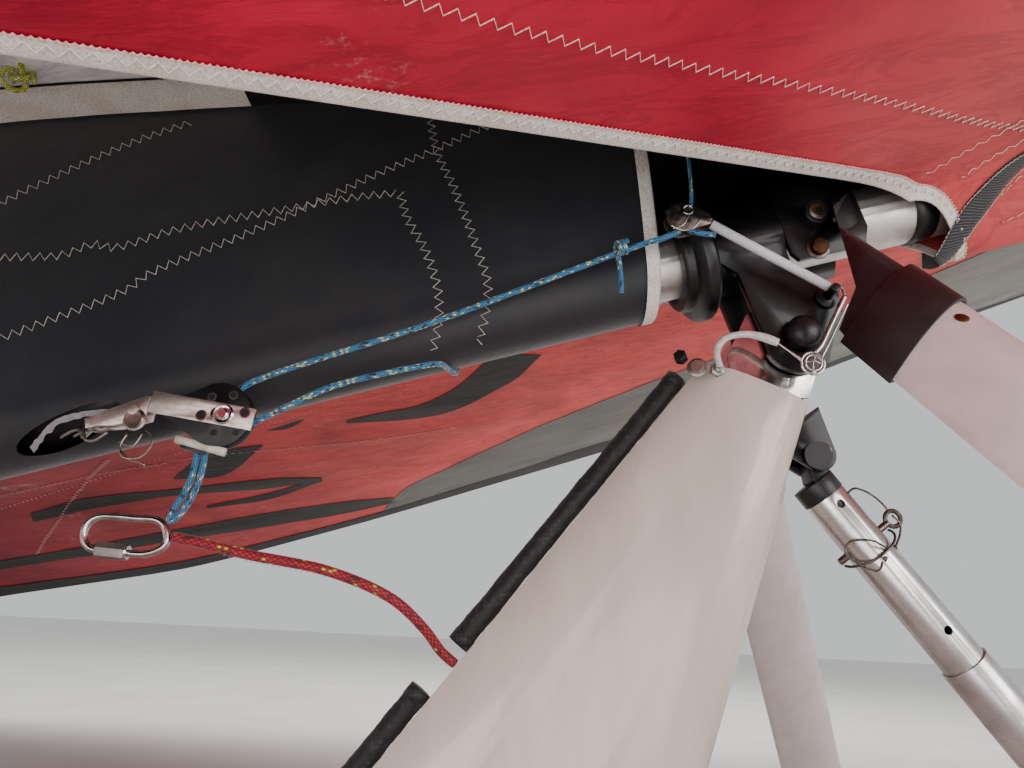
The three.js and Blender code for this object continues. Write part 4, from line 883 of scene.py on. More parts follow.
# %% Swooshes
SWOOSHES = [
    # one edge and the other, both from aft to front
    ([(-440, 385), (-390, 370), (-337, 360), (-291, 326), (-262, 280), (-234, 222)],
     [(-443, 396), (-371, 414), (-315, 415), (-263, 381), (-214, 333), (-176, 250)]),
    ([(-545, 292), (-491, 290), (-450, 300)], [(-575, 378), (-520, 388), (-450, 304)]),
    ([(-671, 463), (-618, 439), (-569, 434)], [(-731, 526), (-661, 535), (-569, 438)]),
    ([(-988, 610), (-873, 567), (-735, 562), (-592, 573), (-528, 604)],
     [(-1000, 639), (-893, 606), (-746, 588), (-605, 616), (-528, 617)]),
    ([(-727, 643), (-612, 636), (-530, 604)], [(-727, 652), (-623, 662), (-530, 624)]),
    ([(-1256, 800), (-1137, 776), (-975, 746), (-816, 720), (-680, 724), (-510, 756), (-440, 790)],
     [(-1256, 832), (-1155, 808), (-996, 786), (-837, 766), (-702, 784), (-527, 821), (-440, 832)]),
]
for number, (one_edge, other_edge) in enumerate(SWOOSHES, 1):
    patch(f"swoosh_{number}", one_edge, other_edge, 1, black_sailcloth, out=0.9, across=4, step=10)
print("swooshes laid:", len(SWOOSHES))

# %% [markdown]
# Tape and seams follow the rim of the opening, from one tail round the nose to the other. Each place on it
# keeps the rim's slope, so that a width can be laid off square to the rim.

# %% Rim of the opening
ALMOST_SQUARE = math.radians(89.99)
rim = []
for i in range(161):
    u = SAIL_AFT + (OPENING_TURN - SAIL_AFT) * i / 160
    rim.append((u, opening_half(u), -OPENING_SPREAD))
for turn in NOSE_TURNS[1:]:
    u = OPENING_TURN + NOSE_LENGTH * math.sin(turn)
    slope = -(OPENING_HALF / NOSE_LENGTH) * math.tan(min(turn, ALMOST_SQUARE))
    rim.append((u, OPENING_HALF * math.cos(turn), slope))
rim_line = [(u, -half, -slope, -1) for u, half, slope in rim]
rim_line += [(u, half, slope, 1) for u, half, slope in reversed(rim[:-1])]
print("rim has", len(rim_line), "places")

# %% [markdown]
# The rim is bound with a felted polyester tape that is folded over the raw edge and sewn through. Its
# section is a flat U, and each row of the grid is that U set square to the rim. The tape narrows where it
# is pulled round the tight curve of the nose.

# %% Binding of the opening
TAPE_WIDE = 17
NARROWING = 0.45
NARROWS_FROM = 110
NARROWS_OVER = 45
tape_section = [(TAPE_WIDE, 1.0), (10, 1.5), (6, 1.6), (2, 1.7), (0, 1.5), (-1.2, 0), (0, -1.3), (4, -1.4),
                (10, -1.3), (TAPE_WIDE, -0.8)]


def rim_spot(u, v, slope, side, inward, out):
    """A point near the rim: inward millimetres into the cloth and out millimetres below it."""
    inward *= 1 - NARROWING * min(1, max(0, (u - NARROWS_FROM) / NARROWS_OVER))
    way = Vector((-slope * side if side > 0 else slope, side)).normalized()
    spot = (u + way.x * inward, v + way.y * inward)
    to_port = v > 0 or (v == 0 and side > 0)
    inside = max(abs(spot[1]), opening_half(spot[0])) * (1 if to_port else -1)
    return on_keel(spot[0], spot[1], lower_height(spot[0], inside) - out)


tape_rows, tape_marks, run = [], [], 0.0
for i, (u, v, slope, side) in enumerate(rim_line):
    if i:
        run += math.dist((u, v), rim_line[i - 1][:2]) / 1000
    tape_rows.append([rim_spot(u, v, slope, side, inward, out) for inward, out in tape_section])
    tape_marks.append([(run, k * 0.0035) for k in range(len(tape_section))])
binding = grid("opening_binding_tape", tape_rows, "wing", tape_marks)
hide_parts("opening_binding")
print("binding is", round(run, 3), "m long")

# %% [markdown]
# On the far side a strip of the red cloth is turned over the tape as a facing, and it closes the view up to
# the pocket. It tapers to nothing towards its front end.

# %% Facing of the far rim
FACING_AFT = -1255
FACING_FORE = -240
FACING_OVERLAP = 21
FACING_WIDE = 120
facing_rows, facing_marks = [], []
for i in range(81):
    u = FACING_AFT + (FACING_FORE - FACING_AFT) * i / 80
    rim_v = opening_half(u)
    inner_v = rim_v - FACING_WIDE * math.sin(math.pi / 2 * min(1, (FACING_FORE + 4 - u) / 260))
    outer_v = rim_v + FACING_OVERLAP
    places = [outer_v + (inner_v - outer_v) * k / 8 for k in range(9)]
    heights = [lower_height(u, max(v, rim_v)) - 2.9 + 0.02 * (rim_v - v) for v in places]
    facing_rows.append([on_keel(u, v, w) for v, w in zip(places, heights)])
    facing_marks.append([(u / 1000, v / 1000) for v in places])
far_facing = grid("far_rim_facing", facing_rows, "wing", facing_marks)
paint(far_facing, port_sailcloth)
print("facing is", FACING_FORE - FACING_AFT, "mm long")

# %% [markdown]
# Binding tape is felted: short fibres stand up and catch dirt, so it looks like pale felt with small dark
# pits. Its ribs are 0.8 mm apart and are drawn at 2 mm.

# %% Tape and thread finishes
def felted_tape(name, main, pit, clean, rib_mm=2.0):
    finish, tree = start_finish(name)
    cut = add(tree, "ShaderNodeUVMap", uv_map="cut")
    fibres = add(tree, "ShaderNodeTexNoise", cut, scale=520.0, detail=4.0, roughness=0.6)
    stains = add(tree, "ShaderNodeTexNoise", cut, scale=26.0, detail=4.0)
    colour = add(tree, "ShaderNodeValToRGB", fibres, stops=[(0.34, pit), (0.5, main), (0.66, clean)])
    stained = add(tree, "ShaderNodeValToRGB", stains, stops=[(0.35, "#E2D8CA"), (0.6, "#FFFFFF")])
    mixed = add(tree, "ShaderNodeMix", 0.6, colour, stained, data_type="RGBA", blend_type="MULTIPLY")
    ribs = add(tree, "ShaderNodeTexWave", cut, scale=314 / rib_mm, bands_direction="X", distortion=1.5)
    height = add(tree, "ShaderNodeMath", fibres, ribs, operation="ADD")
    relief = add(tree, "ShaderNodeBump", strength=0.5, distance=0.0006, height=height)
    end_finish(tree, base_color=mixed, roughness=0.9, sheen_weight=0.4, normal=relief)
    return finish


def sewing_thread(name, main, dark):
    finish, tree = start_finish(name)
    spot = add(tree, "ShaderNodeTexCoord", outlet="Object")
    fluff = add(tree, "ShaderNodeTexNoise", spot, scale=600.0, detail=3.0)
    colour = add(tree, "ShaderNodeValToRGB", fluff, stops=[(0.35, dark), (0.6, main)])
    end_finish(tree, base_color=colour, roughness=0.7, sheen_weight=0.3)
    return finish


# Polyester tape, felted and folded: pale, soft and a little dirty
beige_tape = felted_tape("felted polyester tape", "#F6F0E8", "#D2C9BD", "#FFFDF9")
paint(binding, beige_tape)
# Polyester sewing thread, twisted and bonded: a slight shine, fluffy where it is old
white_thread = sewing_thread("white polyester thread", "#FBF9F4", "#DEDAD2")
grey_thread = sewing_thread("greyed polyester thread", "#D9D3C8", "#A49C90")
pink_thread = sewing_thread("pink polyester thread", "#F6CFC6", "#D88A88")
print("tape and thread ready")

# %% [markdown]
# Sailmakers sew with a zigzag stitch, because it stretches with the cloth. A seam here is one thin tube
# that swings from side to side of its line, half a millimetre proud of the cloth.

# %% Zigzag
def zigzag(line, outward, swing, pitch):
    """Corners of a zigzag that follows a line. swing and pitch are in metres."""
    even = [line[0]]
    carry = 0.0
    for a, b in zip(line, line[1:]):
        length = (b - a).length
        while carry + length >= pitch / 2:
            a = a.lerp(b, (pitch / 2 - carry) / length)
            length = (b - a).length
            carry = 0.0
            even.append(a)
        carry += length
    corners = []
    for i, spot in enumerate(even):
        way = (even[min(i + 1, len(even) - 1)] - even[max(i - 1, 0)]).normalized()
        side = way.cross(outward).normalized()
        uneven = 1 + 0.12 * noise.noise(spot * 400)
        corners.append(spot + side * swing * uneven * (1 if i % 2 else -1))
    return corners


KEEL_DOWN = (on_keel(0, 0, -1) - on_keel(0, 0, 0)).normalized()
print("down, square to the keel, is", tuple(round(c, 3) for c in KEEL_DOWN))

# %% [markdown]
# Two rows of stitches run round the rim: a zigzag along the middle of the tape, and a close overlock over
# its outer edge. The swing is half the stitch's width and the pitch its length, both in metres.

# %% Seams of the binding
STITCH_SWING = 0.0034
STITCH_PITCH = 0.0105
THREAD_RADIUS = 0.0005


def rim_seam(inward, out):
    return [rim_spot(u, v, slope, side, inward, out) for u, v, slope, side in rim_line]


seams = [
    # name, line, swing, pitch, thread, radius
    ("binding_stitch", rim_seam(10.5, 2.2), 0.0034, 0.0098, white_thread, 0.00055),
    ("binding_overlock", rim_seam(TAPE_WIDE, 1.4), 0.0009, 0.0036, pink_thread, 0.00065),
]
for name, line, swing, pitch, thread, radius in seams:
    piece = many_tubes(name, [zigzag(line, KEEL_DOWN, swing, pitch)], radius, "wing")
    paint(piece, thread)
print("binding sewn")

# %% [markdown]
# The panels' own seams are sewn in pink thread. Where the far ones cross the facing they lie on it, and
# elsewhere on the panel.

# %% Seams of the panels
ON_PANEL = 0.7
ON_FACING = 3.9
NEAR_SEAMS = [
    # (u, v) on the lower skin: the long seam first, then short ones at the nose of the opening
    [(-700, -590), (-470, -455), (-270, -329), (-228, -306), (-104, -247), (62, -175),
     (193, -109), (300, -62)],
    [(142, -66), (187, -104), (245, -150), (330, -215)],
    [(180, -52), (228, -82), (300, -128)],
    [(222, -34), (262, -52), (330, -78)],
    [(222, -20), (300, -28), (420, -40)],
]
near_threads = []
for line in NEAR_SEAMS:
    spots = smooth_line([Vector((u, v, 0)) for u, v in line], 6)
    sewn = [on_lower(p.x, p.y, ON_PANEL) for p in spots]
    near_threads.append(zigzag(sewn, KEEL_DOWN, STITCH_SWING, STITCH_PITCH))
near_seams = many_tubes("near_panel_seams", near_threads, THREAD_RADIUS, "wing")
paint(near_seams, pink_thread)
FAR_SEAMS = [
    [(-975, 514), (-820, 479), (-662, 456), (-550, 458), (-350, 476), (-298, 475)],
    [(-1062, 757), (-908, 578), (-768, 408)],
]
far_threads = []
for line in FAR_SEAMS:
    sewn = []
    for p in smooth_line([Vector((u, v, 0)) for u, v in line], 6):
        rim_v = opening_half(p.x)
        skin = on_lower(p.x, max(p.y, rim_v), ON_PANEL if p.y > rim_v + 24 else ON_FACING)
        sewn.append(Vector((skin.x, p.y / 1000, skin.z)))
    far_threads.append(zigzag(sewn, KEEL_DOWN, STITCH_SWING, STITCH_PITCH))
far_seams = many_tubes("far_panel_seams", far_threads, THREAD_RADIUS, "wing")
paint(far_seams, pink_thread)
print("panel seams", len(NEAR_SEAMS) + len(FAR_SEAMS))

# %% [markdown]
# The keel pocket is a sleeve of heavy black cloth that holds the keel to the sail: a round bag under the
# keel, and two flanks that close towards the crown. A section at one station is a list of points, and the
# skin is a loft through the stations. The front edge leans, so each point's last station depends on its
# height.

# %% Keel pocket
POCKET_RADIUS = 39
POCKET_DROP = 6
POCKET_AFT = SAIL_AFT + 10
SHOULDER_TURN = 14
POCKET_SHOULDER = (
    POCKET_RADIUS * math.cos(math.radians(SHOULDER_TURN)),
    POCKET_RADIUS * math.sin(math.radians(SHOULDER_TURN)) - POCKET_DROP,
)
POCKET_TOP_HALF = 6
POCKET_BULGE = 6.3
FLANK_POINTS = 26
BAG_POINTS = 26


def pocket_top(u):
    """The flanks end 5 mm below the crown."""
    return along(CROWN_HEIGHT, u) - 5


def pocket_half(u, w):
    """Half the pocket's width at a height w above its shoulder, or round the bag below it."""
    if w < POCKET_SHOULDER[1]:
        return math.sqrt(max(0, POCKET_RADIUS ** 2 - (w + POCKET_DROP) ** 2))
    share = min(1, (w - POCKET_SHOULDER[1]) / (pocket_top(u) - POCKET_SHOULDER[1]))
    straight = POCKET_SHOULDER[0] + (POCKET_TOP_HALF - POCKET_SHOULDER[0]) * share
    return straight + POCKET_BULGE * math.sin(math.pi * share ** 0.85)


def pocket_front(w):
    """The front edge leans forward by 71 mm over a height of 310."""
    return -109 + 71 * (w + 60) / 310


def bag_turn(k):
    """The angle of a point round the bag, from one shoulder under the keel to the other."""
    return math.radians(-SHOULDER_TURN + (180 + 2 * SHOULDER_TURN) * (k - FLANK_POINTS) / BAG_POINTS)


def pocket_puckers(u, w):
    """Small uneven folds where the cloth is gathered by its seams."""
    return 1.3 * noise.noise(Vector((u / 90, w / 40, 5))) + 0.5 * noise.noise(Vector((u / 24, w / 18, 9)))


print("pocket is", round(2 * pocket_half(-300, 60)), "mm wide above the keel")

# %% [markdown]
# The rows of the loft run from the aft end to the leaning front edge. Each starts at the top of the
# starboard flank, goes down and round under the keel, and ends at the top of the port one.

# %% Loft of the keel pocket
pocket_rows, pocket_marks = [], []
for i in range(131):
    share = (i / 130) ** 0.8
    row, mark = [], []
    for k in range(2 * FLANK_POINTS + BAG_POINTS + 1):
        if k < FLANK_POINTS or k > FLANK_POINTS + BAG_POINTS:
            side = -1 if k < FLANK_POINTS else 1
            rise = 1 - k / FLANK_POINTS if side < 0 else (k - FLANK_POINTS - BAG_POINTS) / FLANK_POINTS
            u = POCKET_AFT + (pocket_front(150 * rise) - POCKET_AFT) * share
            w = POCKET_SHOULDER[1] + (pocket_top(u) - POCKET_SHOULDER[1]) * rise
            u = POCKET_AFT + (pocket_front(w) - POCKET_AFT) * share
            v = side * (pocket_half(u, w) + pocket_puckers(u, w) * math.sin(math.pi * min(1, rise * 1.05)))
        else:
            v = -POCKET_RADIUS * math.cos(bag_turn(k))
            w = -POCKET_RADIUS * math.sin(bag_turn(k)) - POCKET_DROP
            u = POCKET_AFT + (pocket_front(w) - POCKET_AFT) * share
        row.append(on_keel(u, v, w))
        mark.append((u / 1000, k * 0.009))
    pocket_rows.append(row)
    pocket_marks.append(mark)
pocket = grid("keel_pocket_cloth", pocket_rows, "wing", pocket_marks)
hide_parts("keel_pocket")
print("pocket loft", len(pocket_rows), "by", len(pocket_rows[0]))

# %% [markdown]
# Pocket cloth is a heavy black weave with a thin plastic coating. Its colour is painted a dark blue, a
# painted reflection of the sky in its sheen, and dust makes it paler in patches. The threads are 0.5 mm
# apart, drawn at 1.5 mm.

# %% Pocket cloth
# Polyester, woven and coated: soft black with a faint sheen, a painted blue sky reflection, lint and dust
pocket_cloth, tree = start_finish("coated black polyester cloth")
cut = add(tree, "ShaderNodeUVMap", uv_map="cut")
spot = add(tree, "ShaderNodeTexCoord", outlet="Object")
# The noise picks between a painted blue reflection of the sky and a paler dusty grey
dust_and_sky_sheen = add(tree, "ShaderNodeTexNoise", spot, scale=7.0, detail=7.0, roughness=0.62)
colour = add(tree, "ShaderNodeValToRGB", dust_and_sky_sheen, stops=[
    (0.35, "#191A20"), (0.52, "#202127"), (0.72, "#2E2C2E")])
lint = add(tree, "ShaderNodeTexNoise", spot, scale=260.0, detail=5.0, roughness=0.8)
lint_marks = add(tree, "ShaderNodeMapRange", lint, 0.68, 0.8, 0.0, 0.5)
linty = add(tree, "ShaderNodeMix", lint_marks, colour, "#6B6660", data_type="RGBA")
# Bands 314 / 210 = 1.5 mm apart
warp = add(tree, "ShaderNodeTexWave", cut, scale=210, bands_direction="X")
weft = add(tree, "ShaderNodeTexWave", cut, scale=210, bands_direction="Y")
weave = add(tree, "ShaderNodeMath", warp, weft, operation="MULTIPLY")
crumple = add(tree, "ShaderNodeTexNoise", spot, scale=26.0, detail=6.0, roughness=0.6)
folded = add(tree, "ShaderNodeBump", strength=0.5, distance=0.003, height=crumple)
relief = add(tree, "ShaderNodeBump", strength=0.15, distance=0.0004, height=weave, normal=folded)
end_finish(tree, base_color=linty, roughness=0.52, specular_ior_level=0.4, sheen_weight=0.25,
           normal=relief)
paint(pocket, pocket_cloth)
print("pocket cloth woven")

# %% [markdown]
# The trim block's anchor comes out of the pocket through an oval hole. The skin is given a millimetre of
# thickness, and an ellipsoid is cut out of it, as scissors would cut it.

# %% Anchor hole
HOLE_U, HOLE_V, HOLE_W = -602, -32, -29
HOLE_LONG, HOLE_DEEP, HOLE_HIGH = 46, 26, 12.5
HOLE_SLOPE = 0.18
wall = pocket.modifiers.new("wall", "SOLIDIFY")
wall.thickness = 0.0012
wall.offset = -1
hole_mesh = bpy.data.meshes.new("anchor_hole_cutter")
ball = bmesh.new()
bmesh.ops.create_uvsphere(ball, u_segments=40, v_segments=20, radius=1)
for vert in ball.verts:
    forward = HOLE_LONG * vert.co.x
    inward = HOLE_DEEP * vert.co.y
    upward = HOLE_SLOPE * forward + HOLE_HIGH * vert.co.z
    vert.co = on_keel(HOLE_U + forward, HOLE_V + inward, HOLE_W + upward)
ball.to_mesh(hole_mesh)
ball.free()
cutter = bpy.data.objects.new("anchor_hole_cutter", hole_mesh)
bpy.context.scene.collection.objects.link(cutter)
opening = pocket.modifiers.new("opening", "BOOLEAN")
opening.object = cutter
opening.operation = "DIFFERENCE"
opening.solver = "EXACT"
bake(pocket)
bpy.data.objects.remove(cutter)
pocket.data.shade_smooth()
pocket.data.set_sharp_from_angle(angle=math.radians(50))
print("pocket has", len(pocket.data.polygons), "faces")

# %% [markdown]
# Reinforcing panels are sewn inside the pocket, and their zigzag seams show outside as greyed thread. The
# seams run along the flank, so each corner is set on the pocket's own surface.

# %% Pocket seams
def on_flank(u, w, out=0.7):
    """A point on the pocket's starboard flank, out millimetres clear of it."""
    rise = (w - POCKET_SHOULDER[1]) / (pocket_top(u) - POCKET_SHOULDER[1])
    pucker = pocket_puckers(u, w) * math.sin(math.pi * min(1, max(0, rise) * 1.05))
    return on_keel(u, -(pocket_half(u, w) + pucker + out), w)


POCKET_SEAMS = [
    # (u, w) on the flank: three long seams and two that cross them
    [(-1100, -10), (-850, 108), (-645, 198), (-527, 240), (-470, 252)],
    [(-1100, 150), (-850, 145), (-644, 138), (-594, 128), (-564, 132), (-550, 124), (-493, 129), (-394, 125),
     (-340, 123), (-297, 117)],
    [(-1100, -5), (-850, 25), (-646, 60), (-536, 81), (-524, 89), (-419, 113), (-357, 130), (-310, 144),
     (-258, 157), (-200, 174), (-120, 190)],
    [(-251, 215), (-256, 157), (-250, 109), (-246, 50), (-245, 6), (-254, -20), (-265, -38)],
    [(-298, 117), (-297, 88), (-289, 54), (-287, 11), (-293, -16), (-305, -38)],
]
STARBOARD = Vector((0, -1, 0))
pocket_threads = []
for line in POCKET_SEAMS:
    spots = smooth_line([Vector((u, w, 0)) for u, w in line], 5)
    pocket_threads.append(zigzag([on_flank(p.x, p.y) for p in spots], STARBOARD, 0.0036, 0.0098))
pocket_stitches = many_tubes("pocket_stitches", pocket_threads, THREAD_RADIUS, "wing")
paint(pocket_stitches, grey_thread)
print("pocket seams", len(pocket_threads))

# %% [markdown]
# The pocket's front edge is bound with the same pale tape, folded round it. The tape goes down one flank,
# round the bag and up the other, and stops short of the crown.

# %% Front binding of the pocket
FRONT_TOP = 208
FRONT_U = -60
front_rows, front_marks = [], []
edge_count = len(pocket_rows[-1])
tape_profile = [(-11, 1.4), (-6, 1.7), (-1, 1.7), (1.4, 0.2), (0, -1.4), (-6, -1.6)]
for k in range(edge_count):
    if k <= FLANK_POINTS:
        w = POCKET_SHOULDER[1] + (FRONT_TOP - POCKET_SHOULDER[1]) * (1 - k / FLANK_POINTS)
        way = (-1, 0)
        base = (-pocket_half(FRONT_U, w), w)
    elif k < FLANK_POINTS + BAG_POINTS:
        way = (-math.cos(bag_turn(k)), -math.sin(bag_turn(k)))
        base = (POCKET_RADIUS * way[0], POCKET_RADIUS * way[1] - POCKET_DROP)
    else:
        rise = (k - FLANK_POINTS - BAG_POINTS) / FLANK_POINTS
        w = POCKET_SHOULDER[1] + (FRONT_TOP - POCKET_SHOULDER[1]) * rise
        way = (1, 0)
        base = (pocket_half(FRONT_U, w), w)
    edge = pocket_front(base[1])
    front_rows.append([on_keel(edge + du, base[0] + way[0] * out, base[1] + way[1] * out)
                       for du, out in tape_profile])
    front_marks.append([(k * 0.008, n * 0.004) for n in range(len(tape_profile))])
front_binding = grid("pocket_front_binding", front_rows, "wing", front_marks)
paint(front_binding, beige_tape)

# %% [markdown]
# Inside the opening the crown carries a wide felted seam tape along each side of the pocket, and beyond
# it a white facing cloth. Both hang a hair below the crown, and their joint is a dark cord of overlock.

# %% Seam tape and facing under the crown
STRIP_AFT = -1250
STRIP_LONG = 835
JOINT_V = 56


def under_crown(u, v, out):
    return on_keel(u, v, upper_height(u, v) - out)


def crown_strip(name, near_v, far_v, out, finish, across=4):
    rows, marks = [], []
    for i in range(61):
        u = STRIP_AFT + STRIP_LONG * i / 60
        places = [near_v + (far_v - near_v) * k / across for k in range(across + 1)]
        sag = [out + 1.2 * noise.noise(Vector((u / 50, v / 25, 2))) for v in places]
        rows.append([under_crown(u, v, drop) for v, drop in zip(places, sag)])
        marks.append([(u / 1000, v / 1000) for v in places])
    strip = grid(name, rows, "wing", marks)
    paint(strip, finish)


# Polyester tape, felted: pale and soft
seam_tape_cloth = felted_tape("felted seam tape", "#F0E9DF", "#D2C8BB", "#FFFBF4")
for name, side in (("starboard", -1), ("port", 1)):
    crown_strip(f"seam_tape_{name}", side * 9, side * JOINT_V, 3.4, seam_tape_cloth)
    crown_strip(f"facing_{name}", side * 54, side * 190, 2.6, white_sailcloth, 8)
    joint = [under_crown(STRIP_AFT + STRIP_LONG * i / 60, side * JOINT_V, 4.6) for i in range(61)]
    edge = tube(f"tape_edge_{name}", joint, 0.0011, "wing", sides=8, curved=False)
    paint(edge, black_sailcloth)
    stitch = zigzag([p + KEEL_DOWN * 0.001 for p in joint], KEEL_DOWN, 0.003, 0.0098)
    stitch = [p + (on_keel(0, -side * 5, 0) - on_keel(0, 0, 0)) for p in stitch]
    seam = many_tubes(f"tape_stitch_{name}", [stitch], THREAD_RADIUS, "wing")
    paint(seam, white_thread)
print("crown taped")

# %% [markdown]
# A polyester webbing strap runs from the nose of the opening out along the near panel, and its twin lies on
# the far one. Webbing is woven in slanted ribs 1 mm apart, which are drawn at 1.5 mm, and here both edges
# are overlocked with light thread.

# %% Webbing
def webbing(name):
    finish, tree = start_finish(name)
    cut = add(tree, "ShaderNodeUVMap", uv_map="cut")
    turned_marks = add(tree, "ShaderNodeMapping", cut, rotation=(0, 0, 0.9))
    ribs = add(tree, "ShaderNodeTexWave", turned_marks, scale=210, bands_direction="X", distortion=2.5,
               detail=3.0)
    # The ribs are painted paler on their crests and darker in the grooves: painted highlight and painted
    # shade
    colour = add(tree, "ShaderNodeValToRGB", ribs, stops=[
        (0.2, "#16181A"), (0.7, "#34383A"), (1.0, "#54585A")])
    relief = add(tree, "ShaderNodeBump", strength=0.7, distance=0.0008, height=ribs)
    end_finish(tree, base_color=colour, roughness=0.7, sheen_weight=0.2, normal=relief)
    return finish


# Woven polyester webbing: dark grey, ribbed, with a dull sheen; its ribs carry painted highlight and painted
# shade
grey_webbing = webbing("woven polyester webbing")
print("webbing woven")

# %% [markdown]
# The strap stands off the cloth and throws a narrow shadow, so it gets some thickness, and a black strip
# beside it is that shadow, painted. It is a skin whose rows lie square to its middle line, and it dips a
# little towards its edges.

# %% Webbing strap
STRAP = [(330, -130), (285, -92), (254, -66), (229, -51), (208, -38), (188, -27), (173, -16), (161, -5)]
STRAP_HALF = 7.5
STRAP_LIFT = 3.4
strap_lines = [smooth_line([Vector((u, side * -v, 0)) for u, v in STRAP], 3) for side in (-1, 1)]
for name, line in zip(("near", "far"), strap_lines):
    rows, marks, edges, run = [], [], ([], []), 0.0
    for i, spot in enumerate(line):
        way = (line[min(i + 1, len(line) - 1)] - line[max(i - 1, 0)]).normalized()
        square = Vector((-way.y, way.x, 0))
        run += (spot - line[max(i - 1, 0)]).length / 1000
        section = [(k / 6 - 0.5) * 2 * STRAP_HALF for k in range(7)]
        places = [spot + square * c for c in section]
        lift = STRAP_LIFT + 0.8 * math.sin(run * 40)
        rows.append([on_lower(p.x, p.y, lift - 0.02 * c * c) for p, c in zip(places, section)])
        marks.append([(run, c / 1000) for c in section])
        for k, edge in zip((0, 6), edges):
            edge.append(on_lower(places[k].x, places[k].y, 3.2))
    strap = grid(f"strap_{name}", rows, "wing", marks)
    thick = strap.modifiers.new("thick", "SOLIDIFY")
    thick.thickness = 0.0016
    bake(strap)
    paint(strap, grey_webbing)
    overlock = many_tubes(f"strap_overlock_{name}", [zigzag(edge, KEEL_DOWN, 0.0014, 0.0042)
                                                     for edge in edges], 0.00045, "wing")
    paint(overlock, grey_thread)
    # A strip of black cloth beside the strap is its painted shadow
    outer = [(p.x + 3, abs(p.y) + 10) for p in line[:-8:12]]
    inner = [(p.x, max(1, abs(p.y) - 3)) for p in line[:-8:12]]
    patch(f"strap_shadow_{name}", outer, inner, -1 if name == "near" else 1, black_sailcloth, out=0.9,
          across=2, step=8)
print("strap sewn on")

# %% [markdown]
# A knot of lime cord holds the facing at one place aft. A knot is one rope that winds over itself, so its
# line is a ring that rises and falls as it goes round twice, with a short end that hangs out.

# %% Knot of lime cord
# Polyester fibre, braided and dyed: bright, with a soft sheen
lime_polyester = braided_polyester("braided polyester, lime", "#DCE63C", "#8C961E", "#F6FAB8", 1.6, 6, 0.2)
knot_centre = under_crown(-592, -76, 9)
KNOT_TURNS = 2
lime_path = []
for i in range(61):
    turn = 2 * math.pi * KNOT_TURNS * i / 60
    wind = 0.009 * (1 + 0.45 * math.cos(1.5 * turn))
    lime_path.append(knot_centre + Vector((wind * math.cos(turn), 0.006 * math.sin(1.5 * turn),
                                           wind * math.sin(turn))))
lime_path.append(lime_path[-1] + Vector((0.006, -0.004, -0.009)))
lime_knot = tube("lime_knot", lime_path, 0.0022, "wing", sides=10, curved=False, wave=braided(0.004, 0.0002))
paint(lime_knot, lime_polyester)
print("lime knot tied,", round(line_length(lime_path), 3), "m of cord")

# %% [markdown]
# A stopper knot sits in the trim line just before the small block: a few turns of the same rope round the
# line, and a tail that hangs down from them.

# %% Stopper knot in the trim line
STOPPER_TURNS = 2.4
WOUND_RADIUS = 4.6
stopper_path = []
for i in range(37):
    turn = 2 * math.pi * STOPPER_TURNS * i / 36
    across = -64.5 + WOUND_RADIUS * math.cos(turn)
    stopper_path.append(on_keel(-136 + 9 * i / 36, across, 0.2 + WOUND_RADIUS * math.sin(turn)))
tail_path = smooth_line([stopper_path[0], on_keel(-138, -66, -10), on_keel(-140, -65, -22),
                         on_keel(-144, -64, -38)], 0.002)
stopper_path = [*reversed(tail_path), *stopper_path[1:]]
stopper = tube("trim_line_knot", stopper_path, 0.0021, sides=12, curved=False, wave=line_braid)
paint(stopper, blue_polyester)
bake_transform(stopper)
print("stopper knot tied,", round(line_length(stopper_path), 3), "m of line")

# %% [markdown]
# The pylon's rear edge is hinged to its fairing through two lengths of black braided sleeving. Sleeving is
# a loose tubular braid of nylon that wrinkles where it is pushed together, so the tube bulges unevenly.

# %% Sleeves on the pylon's rear edge
SLEEVE_RADIUS = 0.0088
SLEEVE_CLEAR = 9.3 * 1.26


def wrinkled(along_sleeve, turn):
    ring = noise.noise(Vector((along_sleeve * 260, 3, 1)))
    lump = noise.noise(Vector((along_sleeve * 70, math.cos(turn), math.sin(turn))))
    return 0.00035 * ring + 0.0006 * lump


def rear_edge(z):
    """The middle of a sleeve, which lies against the fairing's leaning rear edge."""
    return at_bolt(-79 + 0.762 * (z + 23) - SLEEVE_CLEAR, 0, z)


# Nylon sleeving, braided: black, half dull, with a fine crossing pattern
braided_sleeving = braided_polyester("braided nylon sleeving", "#151216", "#050506", "#2C282C", 2.4, 11, 0.3)
for node, top, bottom in (("sleeve_upper", -33, -262), ("sleeve_lower", -296, -461)):
    line = [rear_edge(top + (bottom - top) * i / 150) for i in range(151)]
    sleeve = tube(node + "_braid", line, SLEEVE_RADIUS, "pylon", sides=28, curved=False, wave=wrinkled)
    paint(sleeve, braided_sleeving)
    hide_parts(node)
    for end in (top - 4, bottom + 4):
        hem = tube(f"{node}_hem_{abs(end)}", [rear_edge(end + 4), rear_edge(end - 4)],
                   SLEEVE_RADIUS + 0.0005, "pylon", sides=28, curved=False)
        paint(hem, braided_sleeving)
print("two sleeves")

# %% [markdown]
# The safety pin is bent from one stainless wire: a hook at the top, a thick shank, a coil that springs it
# open and a thin leg that closes it. Each is drawn as a tube of its own, because they differ in thickness.

# %% Safety pin
PIN_EYE = Vector((2.6, -47.6, -29.9))
PIN_TOP = Vector((34, -47.6, 33))
pin_way = (PIN_TOP - PIN_EYE).normalized()
pin_across = Vector((pin_way.z, 0, -pin_way.x))


def at_eye(turn, radius, y):
    spot = PIN_EYE + pin_way * radius * math.sin(turn) + pin_across * radius * math.cos(turn)
    return at_bolt(spot.x, y, spot.z)


